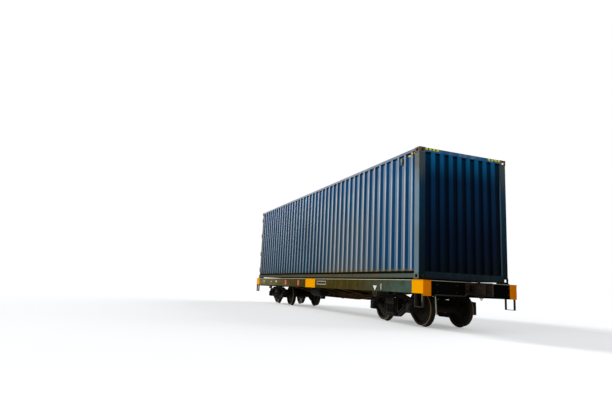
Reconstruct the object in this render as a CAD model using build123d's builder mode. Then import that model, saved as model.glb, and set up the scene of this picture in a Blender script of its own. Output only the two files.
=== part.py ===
from build123d import *
from math import radians, sin
import os

os.makedirs("parts", exist_ok=True)

# A metre-gauge container flatcar that carries a 40 ft high-cube container.
# Lengths are in millimetres. X runs along the wagon, with +X towards the container's closed end,
# Y across it and Z up. The origin lies under the middle of the wagon, at the flanges' tips.

# Fits and clearances
running_gap = 0.1
seat_gap = 0.3
swing_gap = 5.0
shake_gap = 10.0

# Wheelsets
rail_centre = 532.5
wheel_radius = 381.0
flange_height = 28.0
flange_thickness = 32.0
back_face = 465.0
rim_width = 127.0
rim_depth = 62.0
hub_width = 150.0
hub_radius = 140.0
wheel_seat_radius = 88.0
axle_radius = 70.0
journal_radius = 62.0
journal_start = 700.0
journal_length = 180.0
axle_height = flange_height + wheel_radius

# Bogies
bogie_centre = 4450.0
wheelbase = 1650.0
frame_centre = 800.0
frame_width = 130.0
frame_web = 40.0
frame_rim = 22.0
frame_top = 700.0
frame_bottom = 180.0
chord_depth = 70.0
window_half = 200.0
column_width = 95.0
spring_radius = 52.0
spring_height = 220.0
spring_pitch = 120.0
spring_rows = 110.0
bolster_depth = 140.0
bolster_middle_depth = 210.0
bolster_half_length = 905.0
box_half_width = 110.0
box_height = 220.0
box_length = 203.0
shoe_gap = 10.0
shoe_spread = 34.0
shoe_thickness = 50.0
shoe_width = 80.0

# Wagon body
headstock_face = 6300.0
sill_top = 1033.0
sill_depth = 280.0
sill_outer = 1245.0
sill_flange = 90.0
sill_web = 10.0
flange_plate = 14.0
edge_strip = 12.0
edge_overhang = 8.0
headstock_depth = 325.0
headstock_plate = 12.0
striker_depth = 50.0
centre_web_inner = 150.0
centre_web = 12.0
centre_flange_edge = 250.0
belly_depth = 575.0
belly_half = 1500.0
belly_end = 3900.0
bolster_half_width = 150.0
bearer_half_width = 60.0
bearer_web = 12.0
bearer_middle_drop = 146.0
lock_pad = 25.0

# Couplers
coupler_height = 888.0
coupler_reach = 6690.0
coupler_pivot = 6150.0
shank_half = 60.0
coupler_pin_radius = 38.0
coupler_swing = 7.0
head_half_height = 140.0
knuckle_half_height = 110.0
head_chamfer = 12.0

# Container
box_length_outer = 12192.0
box_width_outer = 2438.0
box_height_outer = 2896.0
fitting_length = 178.0
fitting_width = 162.0
fitting_height = 118.0
fitting_proud = 6.0
fitting_wall = 14.0
fitting_deck = 28.0
post_wall = 45.0
top_rail = 60.0
bottom_rail_low = 18.0
bottom_rail_high = 158.0
bottom_rail_width = 48.0
rail_wall = 6.0
sheet = 4.0
side_pitch = 283.0
side_flats = 42
side_outer_flat = 72.0
side_inner_flat = 71.0
side_wave_depth = 36.0
side_recess = 4.0
front_pitch = 240.0
front_flats = 8
front_outer_flat = 104.0
front_slope = 18.0
front_wave_depth = 45.0
front_recess = 4.0
roof_pitch = 209.0
roof_flat = 91.0
roof_slope = 13.5
roof_wave_depth = 20.0
roof_waves = 56
floor_top = 172.0
floor_thickness = 28.0
member_width = 45.0
member_wall = 5.0
member_pitch = 300.0
member_count = 39
end_rail_depth = 60.0
front_header_low = 2810.0
front_sill_high = 160.0

# Doors at the -X end
door_pin_x = 6084.0
door_pin_y = 1207.0
door_pin_radius = 8.0
door_barrel = 12.0
door_inset = 85.0
door_thickness = 50.0
door_low = 130.0
door_high = 2770.0
door_side_gap = 20.0
door_middle_gap = 11.0
door_rail_x = 6000.0
lock_rod_radius = 16.0
lock_rod_inset = 59.0

# Derived levels and places
container_bottom = sill_top + lock_pad
container_top = container_bottom + box_height_outer
sill_bottom = sill_top - sill_depth
half_box = box_length_outer / 2
half_width = box_width_outer / 2
axle_offset = wheelbase / 2
end_signs = (1, -1)
plate_underside = sill_top - edge_strip
sill_end = headstock_face - headstock_plate
strip_edge = sill_outer + edge_overhang
sill_inner = sill_outer - sill_flange
fitting_inner_x = half_box - fitting_length
fitting_inner_y = half_width - fitting_width
post_face_x = half_box - fitting_proud
post_face_y = half_width - fitting_proud
post_low = container_bottom + fitting_height
post_high = container_top - fitting_height
wall_low = container_bottom + bottom_rail_high
roof_top = container_top - fitting_proud
wall_high = roof_top - top_rail
lock_x = half_box - 101.5
lock_y = half_width - 89.0


def block(x, y, z, mode=Mode.ADD):
    """Adds a box that fills the spans x, y and z to the part being built."""
    with Locations(((x[0] + x[1]) / 2, (y[0] + y[1]) / 2, (z[0] + z[1]) / 2)):
        Box(x[1] - x[0], y[1] - y[0], z[1] - z[0], mode=mode)


def rod(start, end, radius, mode=Mode.ADD):
    """Adds a round bar from one point to another to the part being built."""
    run = Vector(*end) - Vector(*start)
    with BuildSketch(Plane(origin=start, z_dir=run)) as section:
        Circle(radius)
    extrude(section.sketch, amount=run.length, mode=mode)


def plan_plate(points, z, mode=Mode.ADD):
    """Adds a plate with an outline of X, Y points over the span z."""
    with BuildSketch(Plane.XY.offset(z[0])) as outline:
        with BuildLine():
            Polyline(*points, close=True)
        make_face()
    extrude(outline.sketch, amount=z[1] - z[0], mode=mode)


def side_plate(points, y, mode=Mode.ADD):
    """Adds a plate with an outline of X, Z points over the span y."""
    with BuildSketch(Plane.XZ.offset(-y[1])) as outline:
        with BuildLine():
            Polyline(*points, close=True)
        make_face()
    extrude(outline.sketch, amount=y[1] - y[0], mode=mode)


def end_plate(points, x, mode=Mode.ADD):
    """Adds a plate with an outline of Y, Z points over the span x."""
    with BuildSketch(Plane.YZ.offset(x[0])) as outline:
        with BuildLine():
            Polyline(*points, close=True)
        make_face()
    extrude(outline.sketch, amount=x[1] - x[0], mode=mode)


def span(sign, near, far):
    """Gives the span between two distances from the middle, on the side of sign."""
    return tuple(sorted((sign * near, sign * far)))


def finish(builder, name):
    """Labels a finished piece and writes it."""
    builder.part.label = name
    export_step(builder.part, f"parts/{name}.step")


# Side sills: channels with their flanges inward and a strip that stands proud at the top
with BuildPart() as side_sills:
    for side in end_signs:
        block((-sill_end, sill_end), span(side, sill_outer - sill_web, sill_outer), (sill_bottom, sill_top))
        block((-sill_end, sill_end), span(side, sill_inner, strip_edge), (plate_underside, sill_top))
        block((-sill_end, sill_end), span(side, sill_inner, sill_outer),
              (sill_bottom, sill_bottom + flange_plate))
finish(side_sills, "side_sills")

# Centre sill: two deep webs under a cover plate, with flanges that follow the belly
belly_low = sill_top - belly_depth
belly_line = [
    (-sill_end, sill_bottom),
    (-belly_end, sill_bottom),
    (-belly_half, belly_low),
    (belly_half, belly_low),
    (belly_end, sill_bottom),
    (sill_end, sill_bottom),
]
bearer_places = (-3100.0, -2000.0, -1000.0, 0.0, 1000.0, 2000.0, 3100.0)
pull_rod_radius = 14.0
pull_rod_height = sill_bottom - 60.0
pull_rod_side = 70.0
spacer_low = pull_rod_height - 40.0
spacer_half = 5.0


def raised(line, rise):
    """Gives a line of points lifted by rise."""
    return [(a, b + rise) for a, b in line]


with BuildPart() as centre_sill:
    block((-sill_end, sill_end), (-centre_flange_edge, centre_flange_edge), (plate_underside, sill_top))
    for side in end_signs:
        web_outline = belly_line + [(sill_end, plate_underside), (-sill_end, plate_underside)]
        side_plate(web_outline, span(side, centre_web_inner, centre_web_inner + centre_web))
        flange_outline = belly_line + raised(belly_line, flange_plate)[::-1]
        side_plate(flange_outline, span(side, centre_web_inner, centre_flange_edge))
    for place in bearer_places:
        block((place - spacer_half, place + spacer_half), (-centre_web_inner, centre_web_inner),
              (spacer_low, plate_underside))
    for side in end_signs:
        for end in end_signs:
            rod_y = side * pull_rod_side
            rod((0, rod_y, pull_rod_height), (end * belly_end, rod_y, pull_rod_height),
                pull_rod_radius + seat_gap, mode=Mode.SUBTRACT)
finish(centre_sill, "centre_sill")

# Headstocks: the end plates, with a hole for the coupler's shank and one for the brake pipe
striker_face = headstock_face + striker_depth
shank_room = shank_half + (striker_face - coupler_pivot) * sin(radians(coupler_swing)) + 2 * swing_gap
shank_low = coupler_height - shank_half
shank_hole_top = coupler_height + shank_half + 3 * swing_gap
pipe_side = 330.0
pipe_height = 930.0
pipe_radius = 21.0
headstock_low = sill_top - headstock_depth
headstock_flange = 90.0


def pipe_hole(start_x, end_x):
    """Cuts the way of the brake pipe between two places along the wagon."""
    rod((start_x, pipe_side, pipe_height), (end_x, pipe_side, pipe_height), pipe_radius + seat_gap,
        mode=Mode.SUBTRACT)


with BuildPart() as headstocks:
    for end in end_signs:
        block(span(end, sill_end, headstock_face), (-sill_outer, sill_outer),
              (headstock_low, plate_underside))
        block(span(end, sill_end, headstock_face + edge_overhang), (-strip_edge, strip_edge),
              (plate_underside, sill_top))
        block(span(end, sill_end - headstock_flange, sill_end), (-sill_inner, sill_inner),
              (headstock_low, headstock_low + edge_strip))
        block(span(end, sill_end - 1, headstock_face + 1), (-shank_room, shank_room),
              (shank_low - seat_gap, shank_hole_top), mode=Mode.SUBTRACT)
        pipe_hole(end * (sill_end - 1), end * (headstock_face + 1))
finish(headstocks, "headstocks")

# Strikers: the cast frames around the couplers' shanks
striker_half = 190.0
striker_low = headstock_low + 52.0
striker_high = plate_underside - 11.0
with BuildPart() as strikers:
    for end in end_signs:
        block(span(end, headstock_face, striker_face), (-striker_half, striker_half),
              (striker_low, striker_high))
        block(span(end, headstock_face - 1, striker_face + 1), (-shank_room, shank_room),
              (shank_low - seat_gap, shank_hole_top), mode=Mode.SUBTRACT)
finish(strikers, "strikers")

# Body bolsters: two half beams and a centre casting over each bogie
centre_plate_radius = 150.0
centre_plate_low = 655.0
wear_plate_radius = 200.0
wear_plate = 18.0
side_bearer_place = 640.0
side_bearer_gap = 6.0
upper_bearer = (110.0, 50.0)
lower_bearer = (80.0, 40.0)
with BuildPart() as body_bolsters:
    for end in end_signs:
        middle = end * bogie_centre
        beam_x = (middle - bolster_half_width, middle + bolster_half_width)
        for side in end_signs:
            block(beam_x, span(side, centre_web_inner + centre_web, sill_outer - sill_web),
                  (sill_bottom + flange_plate, plate_underside))
            block((middle - upper_bearer[0], middle + upper_bearer[0]),
                  span(side, side_bearer_place - upper_bearer[1], side_bearer_place + upper_bearer[1]),
                  (frame_top + side_bearer_gap, sill_bottom + flange_plate))
        block(beam_x, (-centre_web_inner, centre_web_inner), (sill_bottom, plate_underside))
        rod((middle, 0, sill_bottom - wear_plate), (middle, 0, sill_bottom), wear_plate_radius)
        rod((middle, 0, centre_plate_low), (middle, 0, sill_bottom - wear_plate), centre_plate_radius)
        pipe_hole(middle - bolster_half_width, middle + bolster_half_width)
finish(body_bolsters, "body_bolsters")

# Cross bearers: tapered beams from the centre sill to the side sills, and the beams under the locks
lock_beam_x = (5900.0, 6110.0)
web_face = centre_web_inner + centre_web
sill_face = sill_outer - sill_web
bearer_low = sill_bottom + flange_plate


def belly_at(x):
    """Gives the height of the centre sill's underside at a place along the wagon."""
    share = (abs(x) - belly_half) / (belly_end - belly_half)
    return belly_low + min(max(share, 0), 1) * (sill_bottom - belly_low)


def bearer_outline(place, side, inset):
    """Gives the outline of a tapered half bearer, drawn in by inset at top and bottom."""
    flange_high = belly_at(abs(place) + bearer_half_width) + flange_plate
    low = max(bearer_low - bearer_middle_drop, flange_high)
    points = [
        (web_face, plate_underside - inset),
        (sill_face, plate_underside - inset),
        (sill_face, bearer_low + inset),
        (sill_inner, bearer_low + inset),
        (centre_flange_edge + 100, low + inset),
        (web_face, low + inset),
    ]
    return [(side * y, z) for y, z in points]


with BuildPart() as cross_bearers:
    for side in end_signs:
        for place in bearer_places:
            near = place - bearer_half_width
            far = place + bearer_half_width
            hollow = bearer_outline(place, side, edge_strip)
            end_plate(bearer_outline(place, side, 0), (near, far))
            end_plate(hollow, (near, place - bearer_web / 2), mode=Mode.SUBTRACT)
            end_plate(hollow, (place + bearer_web / 2, far), mode=Mode.SUBTRACT)
        for end in end_signs:
            block(span(end, *lock_beam_x), span(side, web_face, sill_face), (bearer_low, plate_underside))
    pipe_hole(-sill_end, sill_end)
finish(cross_bearers, "cross_bearers")

# Lock pads under the container's corners, with a step down onto the beams beside the side sills
stowed_lock_x = 139.5
stowed_lock_half = 90.0
stowed_lock_height = 17.0
pad_inner = (94.0, 100.0)
pad_outer = (101.0, 110.0)
with BuildPart() as lock_pads:
    for end in end_signs:
        for side in end_signs:
            pad_x = span(end, lock_x - pad_inner[0], lock_x + pad_outer[0])
            block(pad_x, span(side, lock_y - pad_inner[1], lock_y + pad_outer[1]),
                  (sill_top, container_bottom))
            block(pad_x, span(side, lock_y - pad_inner[1], sill_inner), (plate_underside, sill_top))
            block(span(end, stowed_lock_x - stowed_lock_half, stowed_lock_x + stowed_lock_half),
                  span(side, sill_inner, sill_outer - sill_web / 2),
                  (sill_top, sill_top + stowed_lock_height))
finish(lock_pads, "lock_pads")

# Container locks: the cones that stand in the bottom corner fittings
cone_foot_size = (88.0, 50.0)
cone_height = 65.0
cone_taper = 14.0
with BuildPart() as container_locks:
    for end in end_signs:
        for side in end_signs:
            with BuildSketch(Plane(origin=(end * lock_x, side * lock_y, container_bottom))) as cone_foot:
                Rectangle(*cone_foot_size)
            extrude(cone_foot.sketch, amount=cone_height, taper=cone_taper)
finish(container_locks, "container_locks")

# Corner steps: stirrups that hang from the side sills next to the headstocks
step_x = (5990.0, 6262.0)
step_low = 470.0
step_bar = 12.0
step_width = 55.0
with BuildPart() as corner_steps:
    for end in end_signs:
        for side in end_signs:
            step_y = span(side, sill_outer - step_width, sill_outer)
            block(span(end, step_x[0], step_x[0] + step_bar), step_y, (step_low, sill_bottom))
            block(span(end, step_x[1] - step_bar, step_x[1]), step_y, (step_low, sill_bottom))
            block(span(end, *step_x), step_y, (step_low, step_low + step_bar))
finish(corner_steps, "corner_steps")

# Jacking brackets: tapered cups under the side sills, a little inboard of the body bolsters' middles
jack_drop = 130.0
jack_half_top = 120.0
jack_half_foot = 70.0
jack_place = bogie_centre - 150.0
jack_wall = 14.0
jack_rib = 24.0
jack_back = sill_outer - 75.0
jack_face = sill_outer - 5.0
with BuildPart() as jacking_brackets:
    for end in end_signs:
        middle = end * jack_place
        cup_outline = [
            (middle - jack_half_top, sill_bottom),
            (middle + jack_half_top, sill_bottom),
            (middle + jack_half_foot, sill_bottom - jack_drop),
            (middle - jack_half_foot, sill_bottom - jack_drop),
        ]
        for side in end_signs:
            side_plate(cup_outline, span(side, jack_back, jack_face))
            for half in end_signs:
                near = middle + half * jack_rib / 2
                far = middle + half * (jack_half_foot - jack_wall)
                block((min(near, far), max(near, far)), span(side, jack_back + jack_wall, jack_face + 1),
                      (sill_bottom - jack_drop + jack_wall, sill_bottom - jack_wall), mode=Mode.SUBTRACT)
finish(jacking_brackets, "jacking_brackets")

# Uncoupling levers: a cranked bar in two brackets on each headstock, with a handle at the outer end
lever_x = headstock_face + 45.0
lever_height = 735.0
lever_radius = 12.0
lever_knob = 14.0
lever_side = (230.0, 980.0)
lever_brackets = (330.0, 900.0)
lever_bracket_half = (10.0, 18.0)
handle_low = 330.0
handle_lean = 40.0
arm_reach = 85.0
arm_rise = 60.0
with BuildPart() as uncoupling_levers:
    for end in end_signs:
        inner_y = -end * lever_side[0]
        outer_y = -end * lever_side[1]
        inner_corner = (end * lever_x, inner_y, lever_height)
        outer_corner = (end * lever_x, outer_y, lever_height)
        arm_tip = (end * (lever_x + arm_reach), inner_y, lever_height + arm_rise)
        handle_tip = (end * (lever_x + handle_lean), outer_y, handle_low)
        rod(inner_corner, outer_corner, lever_radius)
        rod(outer_corner, handle_tip, lever_radius)
        rod(inner_corner, arm_tip, lever_radius)
        with Locations(inner_corner, outer_corner):
            Sphere(lever_knob)
        for place in lever_brackets:
            block(span(end, headstock_face, lever_x + lever_bracket_half[1]),
                  span(-end, place - lever_bracket_half[0], place + lever_bracket_half[0]),
                  (lever_height - lever_bracket_half[1], lever_height + lever_bracket_half[1]))
finish(uncoupling_levers, "uncoupling_levers")

# Draft gears: a block between the centre sill's webs, with a yoke and a pin for the coupler
yoke_high = coupler_height + shank_half + swing_gap
yoke_strap = 23.0
yoke_low = coupler_height - shank_half - swing_gap
yoke_nose = coupler_pivot + 70.0
shank_tail = coupler_pivot - shank_half
draft_start = coupler_pivot - 850.0
with BuildPart() as draft_gears:
    for end in end_signs:
        block(span(end, draft_start, shank_tail - shake_gap), (-centre_web_inner, centre_web_inner),
              (yoke_low - yoke_strap, yoke_high + yoke_strap))
        for strap_z in ((yoke_high, yoke_high + yoke_strap), (yoke_low - yoke_strap, yoke_low)):
            block(span(end, shank_tail - shake_gap, yoke_nose), (-shank_half, shank_half), strap_z)
        rod((end * coupler_pivot, 0, yoke_low), (end * coupler_pivot, 0, yoke_high), coupler_pin_radius)
finish(draft_gears, "draft_gears")

# Couplers: shank, head and guard arm, with a knuckle in the jaw
# Outline of the head from the shank round the guard arm and jaw: distance ahead of the face, side
head_outline = (
    (-210, -60),
    (-210, 60),
    (-170, 130),
    (-60, 150),
    (60, 172),
    (72, 128),
    (0, 78),
    (-45, 40),
    (-55, -40),
    (-75, -80),
    (-75, -150),
    (-150, -140),
)
knuckle_outline = (
    (-75, -82),
    (-75, -150),
    (-35, -178),
    (35, -172),
    (72, -130),
    (66, -50),
    (35, -12),
    (-5, -15),
    (0, -62),
    (-35, -84),
)
knuckle_pin = (-20.0, -128.0)
knuckle_pin_radius = 20.0
knuckle_pin_proud = 18.0
shank_end = coupler_reach - 205.0
shank_recess = (coupler_pivot + 100.0, coupler_reach - 240.0)
recess_depth = 14.0
recess_half = 36.0
lock_lug_x = (coupler_reach - 130.0, coupler_reach - 80.0)
lock_lug_half = 34.0
lock_lug_drop = 46.0
lock_lug_root = 20.0
for end, end_name in ((1, "front"), (-1, "rear")):
    head_points = [(end * (coupler_reach + a), end * b) for a, b in head_outline]
    knuckle_points = [(end * (coupler_reach + a), end * b) for a, b in knuckle_outline]
    head_z = (coupler_height - head_half_height, coupler_height + head_half_height)
    knuckle_z = (coupler_height - knuckle_half_height, coupler_height + knuckle_half_height)
    with BuildPart() as coupler:
        shank_z = (coupler_height - shank_half, coupler_height + shank_half)
        block(span(end, coupler_pivot, shank_end), (-shank_half, shank_half), shank_z)
        rod((end * coupler_pivot, 0, shank_z[0]), (end * coupler_pivot, 0, shank_z[1]), shank_half)
        plan_plate(head_points, head_z)
        head_rim = coupler.edges().filter_by(GeomType.LINE).filter_by(
            lambda edge: abs(abs(edge.center().Z - coupler_height) - head_half_height) < 1)
        chamfer(head_rim, head_chamfer)
        for side in end_signs:
            block(span(end, *shank_recess), span(side, shank_half - recess_depth, shank_half + 1),
                  (coupler_height - recess_half, coupler_height + recess_half), mode=Mode.SUBTRACT)
        block(span(end, *lock_lug_x), (-lock_lug_half, lock_lug_half),
              (head_z[0] - lock_lug_drop, head_z[0] + lock_lug_root))
        rod((end * coupler_pivot, 0, head_z[0]), (end * coupler_pivot, 0, head_z[1]),
            coupler_pin_radius + running_gap, mode=Mode.SUBTRACT)
    finish(coupler, f"coupler_{end_name}")
    with BuildPart() as knuckle:
        plan_plate(knuckle_points, knuckle_z)
        pin_x = end * (coupler_reach + knuckle_pin[0])
        pin_y = end * knuckle_pin[1]
        rod((pin_x, pin_y, knuckle_z[0] - knuckle_pin_proud),
            (pin_x, pin_y, knuckle_z[1] + knuckle_pin_proud), knuckle_pin_radius)
    finish(knuckle, f"knuckle_{end_name}")

# Air reservoir and brake cylinder: each hangs in saddles from two bars between bearers
# Table of the two vessels: name, place along, side, radius, length, height of the axis
vessels = (
    ("air_reservoir", -500.0, -640.0, 190.0, 840.0, 655.0),
    ("brake_cylinder", 500.0, 640.0, 150.0, 420.0, 700.0),
)
vessel_round = 60.0
cylinder_cover = 25.0
piston_reach = 140.0
piston_radius = 22.0
saddle_place = 0.3
saddle_half = 8.0
saddle_share = 0.7
hanger_low = 870.0
hanger_high = 920.0
hanger_half = 25.0
half_bay = 500.0
for name, place, across, radius, length, height in vessels:
    with BuildPart() as vessel:
        with BuildSketch(Plane(origin=(place - length / 2, across, height), z_dir=(1, 0, 0))) as shell:
            Circle(radius)
        extrude(shell.sketch, amount=length)
        if name == "air_reservoir":
            fillet(vessel.edges().filter_by(GeomType.CIRCLE), radius=vessel_round)
        else:
            cover_end = place - length / 2
            piston_start = place + length / 2
            rod((cover_end - cylinder_cover, across, height), (cover_end, across, height),
                radius + cylinder_cover)
            rod((piston_start, across, height), (piston_start + piston_reach, across, height),
                piston_radius)
        for end in end_signs:
            saddle_x = place + end * saddle_place * length
            block((saddle_x - saddle_half, saddle_x + saddle_half),
                  (across - saddle_share * radius, across + saddle_share * radius), (height, hanger_low))
        for side in end_signs:
            bar_y = across + side * radius / 2
            block((place - half_bay + bearer_web / 2, place + half_bay - bearer_web / 2),
                  (bar_y - hanger_half, bar_y + hanger_half), (hanger_low, hanger_high))
    finish(vessel, name)

# Brake valve: a cast body on a bracket at the centre sill's side
valve_place = 400.0
valve_half = 100.0
valve_bracket_half = 70.0
valve_bracket_inset = 30.0
valve_inner = web_face + 60.0
valve_outer = web_face + 210.0
valve_low = 800.0
valve_high = 960.0
bowl_low = 700.0
valve_bowl_radius = 70.0
with BuildPart() as brake_valve:
    block((valve_place - valve_bracket_half, valve_place + valve_bracket_half), (-valve_inner, -web_face),
          (valve_low + valve_bracket_inset, valve_high - valve_bracket_inset))
    block((valve_place - valve_half, valve_place + valve_half), (-valve_outer, -valve_inner),
          (valve_low, valve_high))
    bowl_y = -(valve_inner + valve_outer) / 2
    rod((valve_place, bowl_y, bowl_low), (valve_place, bowl_y, valve_low), valve_bowl_radius)
finish(brake_valve, "brake_valve")

# Brake pipe: runs the wagon's length through the beams, with an angle cock at each end
pipe_end = headstock_face + 30.0
cock_reach = 95.0
cock_radius = 32.0
cock_mouth_radius = 30.0
cock_mouth_start = pipe_end + cock_reach - 30.0
cock_mouth_end = pipe_end + cock_reach + 25.0
cock_mouth_drop = 85.0
cock_lever_half = 12.0
cock_lever_x = (pipe_end - 20.0, pipe_end + 60.0)
cock_stem_start = pipe_end + 20.0
cock_stem_height = 55.0
cock_lever_rise = (45.0, 57.0)
with BuildPart() as brake_pipe:
    rod((-pipe_end, pipe_side, pipe_height), (pipe_end, pipe_side, pipe_height), pipe_radius)
finish(brake_pipe, "brake_pipe")
with BuildPart() as angle_cocks:
    for end in end_signs:
        rod((end * pipe_end, pipe_side, pipe_height),
            (end * (pipe_end + cock_reach), pipe_side, pipe_height), cock_radius)
        rod((end * cock_mouth_start, pipe_side, pipe_height),
            (end * cock_mouth_end, pipe_side, pipe_height - cock_mouth_drop), cock_mouth_radius)
        lever_y = (pipe_side - cock_lever_half, pipe_side + cock_lever_half)
        block(span(end, cock_stem_start, cock_lever_x[1]), lever_y,
              (pipe_height, pipe_height + cock_stem_height))
        block(span(end, *cock_lever_x), lever_y,
              (pipe_height + cock_lever_rise[0], pipe_height + cock_lever_rise[1]))
finish(angle_cocks, "angle_cocks")

# Brake rods: two pull rods through the centre sill's spacers
pull_rod_end = 3200.0
with BuildPart() as brake_rods:
    for side in end_signs:
        rod((-pull_rod_end, side * pull_rod_side, pull_rod_height),
            (pull_rod_end, side * pull_rod_side, pull_rod_height), pull_rod_radius)
finish(brake_rods, "brake_rods")

# Hand brake: a spoked wheel below the side sill, on a shaft from a bracket
hand_wheel_x = -2500.0
hand_wheel_z = 560.0
hand_wheel_radius = 190.0
hand_wheel_rim = 26.0
hand_wheel_back = sill_outer - 45.0
hand_wheel_spokes = 6
hand_spoke_width = 22.0
hand_spoke_root = 10.0
hand_hub_radius = 38.0
hand_shaft_radius = 18.0
hand_shaft_y = (sill_inner - 20.0, sill_outer - 10.0)
hand_bracket_half = 50.0
hand_bracket_plate = 14.0
hand_bracket_drop = 45.0
with BuildPart() as hand_brake:
    wheel_plane = Plane(origin=(hand_wheel_x, hand_wheel_back, hand_wheel_z), z_dir=(0, 1, 0))
    with BuildSketch(wheel_plane) as hand_wheel:
        Circle(hand_wheel_radius)
        Circle(hand_wheel_radius - hand_wheel_rim, mode=Mode.SUBTRACT)
        for spoke in range(hand_wheel_spokes // 2):
            Rectangle(2 * (hand_wheel_radius - hand_spoke_root), hand_spoke_width,
                      rotation=360 / hand_wheel_spokes * spoke)
        Circle(hand_hub_radius)
    extrude(hand_wheel.sketch, amount=hand_wheel_rim)
    rod((hand_wheel_x, hand_shaft_y[0], hand_wheel_z), (hand_wheel_x, hand_shaft_y[1], hand_wheel_z),
        hand_shaft_radius)
    block((hand_wheel_x - hand_bracket_half, hand_wheel_x + hand_bracket_half),
          (sill_inner, sill_inner + hand_bracket_plate), (hand_wheel_z - hand_bracket_drop, sill_bottom))
finish(hand_brake, "hand_brake")

# Bogies
# Outline of half a side frame: distance from the middle along the wagon, height
box_top = axle_height + box_height / 2
inner_leg = axle_offset - box_half_width
outer_leg = axle_offset + box_half_width
frame_outline = (
    (0, frame_top),
    (430, frame_top),
    (720, 628),
    (outer_leg + 40, 595),
    (outer_leg + 40, axle_height - 20),
    (outer_leg, axle_height - 20),
    (outer_leg, box_top),
    (inner_leg, box_top),
    (inner_leg, axle_height - 20),
    (inner_leg - 65, axle_height - 20),
    (window_half + 60, frame_bottom),
    (0, frame_bottom),
)
# Outline of the opening between the column, the top chord and the tension member
frame_opening = (
    (window_half + column_width, 620),
    (430, 620),
    (inner_leg - 75, 562),
    (inner_leg - 75, 470),
    (window_half + column_width, 292),
)
window_low = frame_bottom + chord_depth
window_high = window_low + spring_height + bolster_depth + shake_gap
frame_y = (frame_centre - frame_width / 2, frame_centre + frame_width / 2)
bolster_low = window_low + spring_height
bolster_top = bolster_low + bolster_depth
bowl_radius = 190.0
pocket_depth = (frame_width - frame_web) / 2
window_outline = (
    (-window_half, window_low - edge_strip),
    (window_half, window_low - edge_strip),
    (window_half, window_high),
    (-window_half, window_high),
)
seat_proud = 40.0
spring_turns = 4
coil_swell = 8.0
bolster_end = 60.0
bolster_belly_half = 350.0
box_set_off = 2.0
box_cover = 24.0
box_cover_half = 80.0
box_cover_inset = (22.0, 30.0)
journal_room = 5.0
brake_beam = 50.0
shoe_back = 4.0
shoe_side_gap = 10.0
hanger_width = 22.0
hanger_top = frame_top - 20.0


def mirrored(points):
    """Gives a half outline followed by its mirror image."""
    return list(points) + [(-a, b) for a, b in reversed(points) if a != 0]


def moved(points, along):
    """Gives an outline moved along the wagon."""
    return [(a + along, b) for a, b in points]


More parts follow.
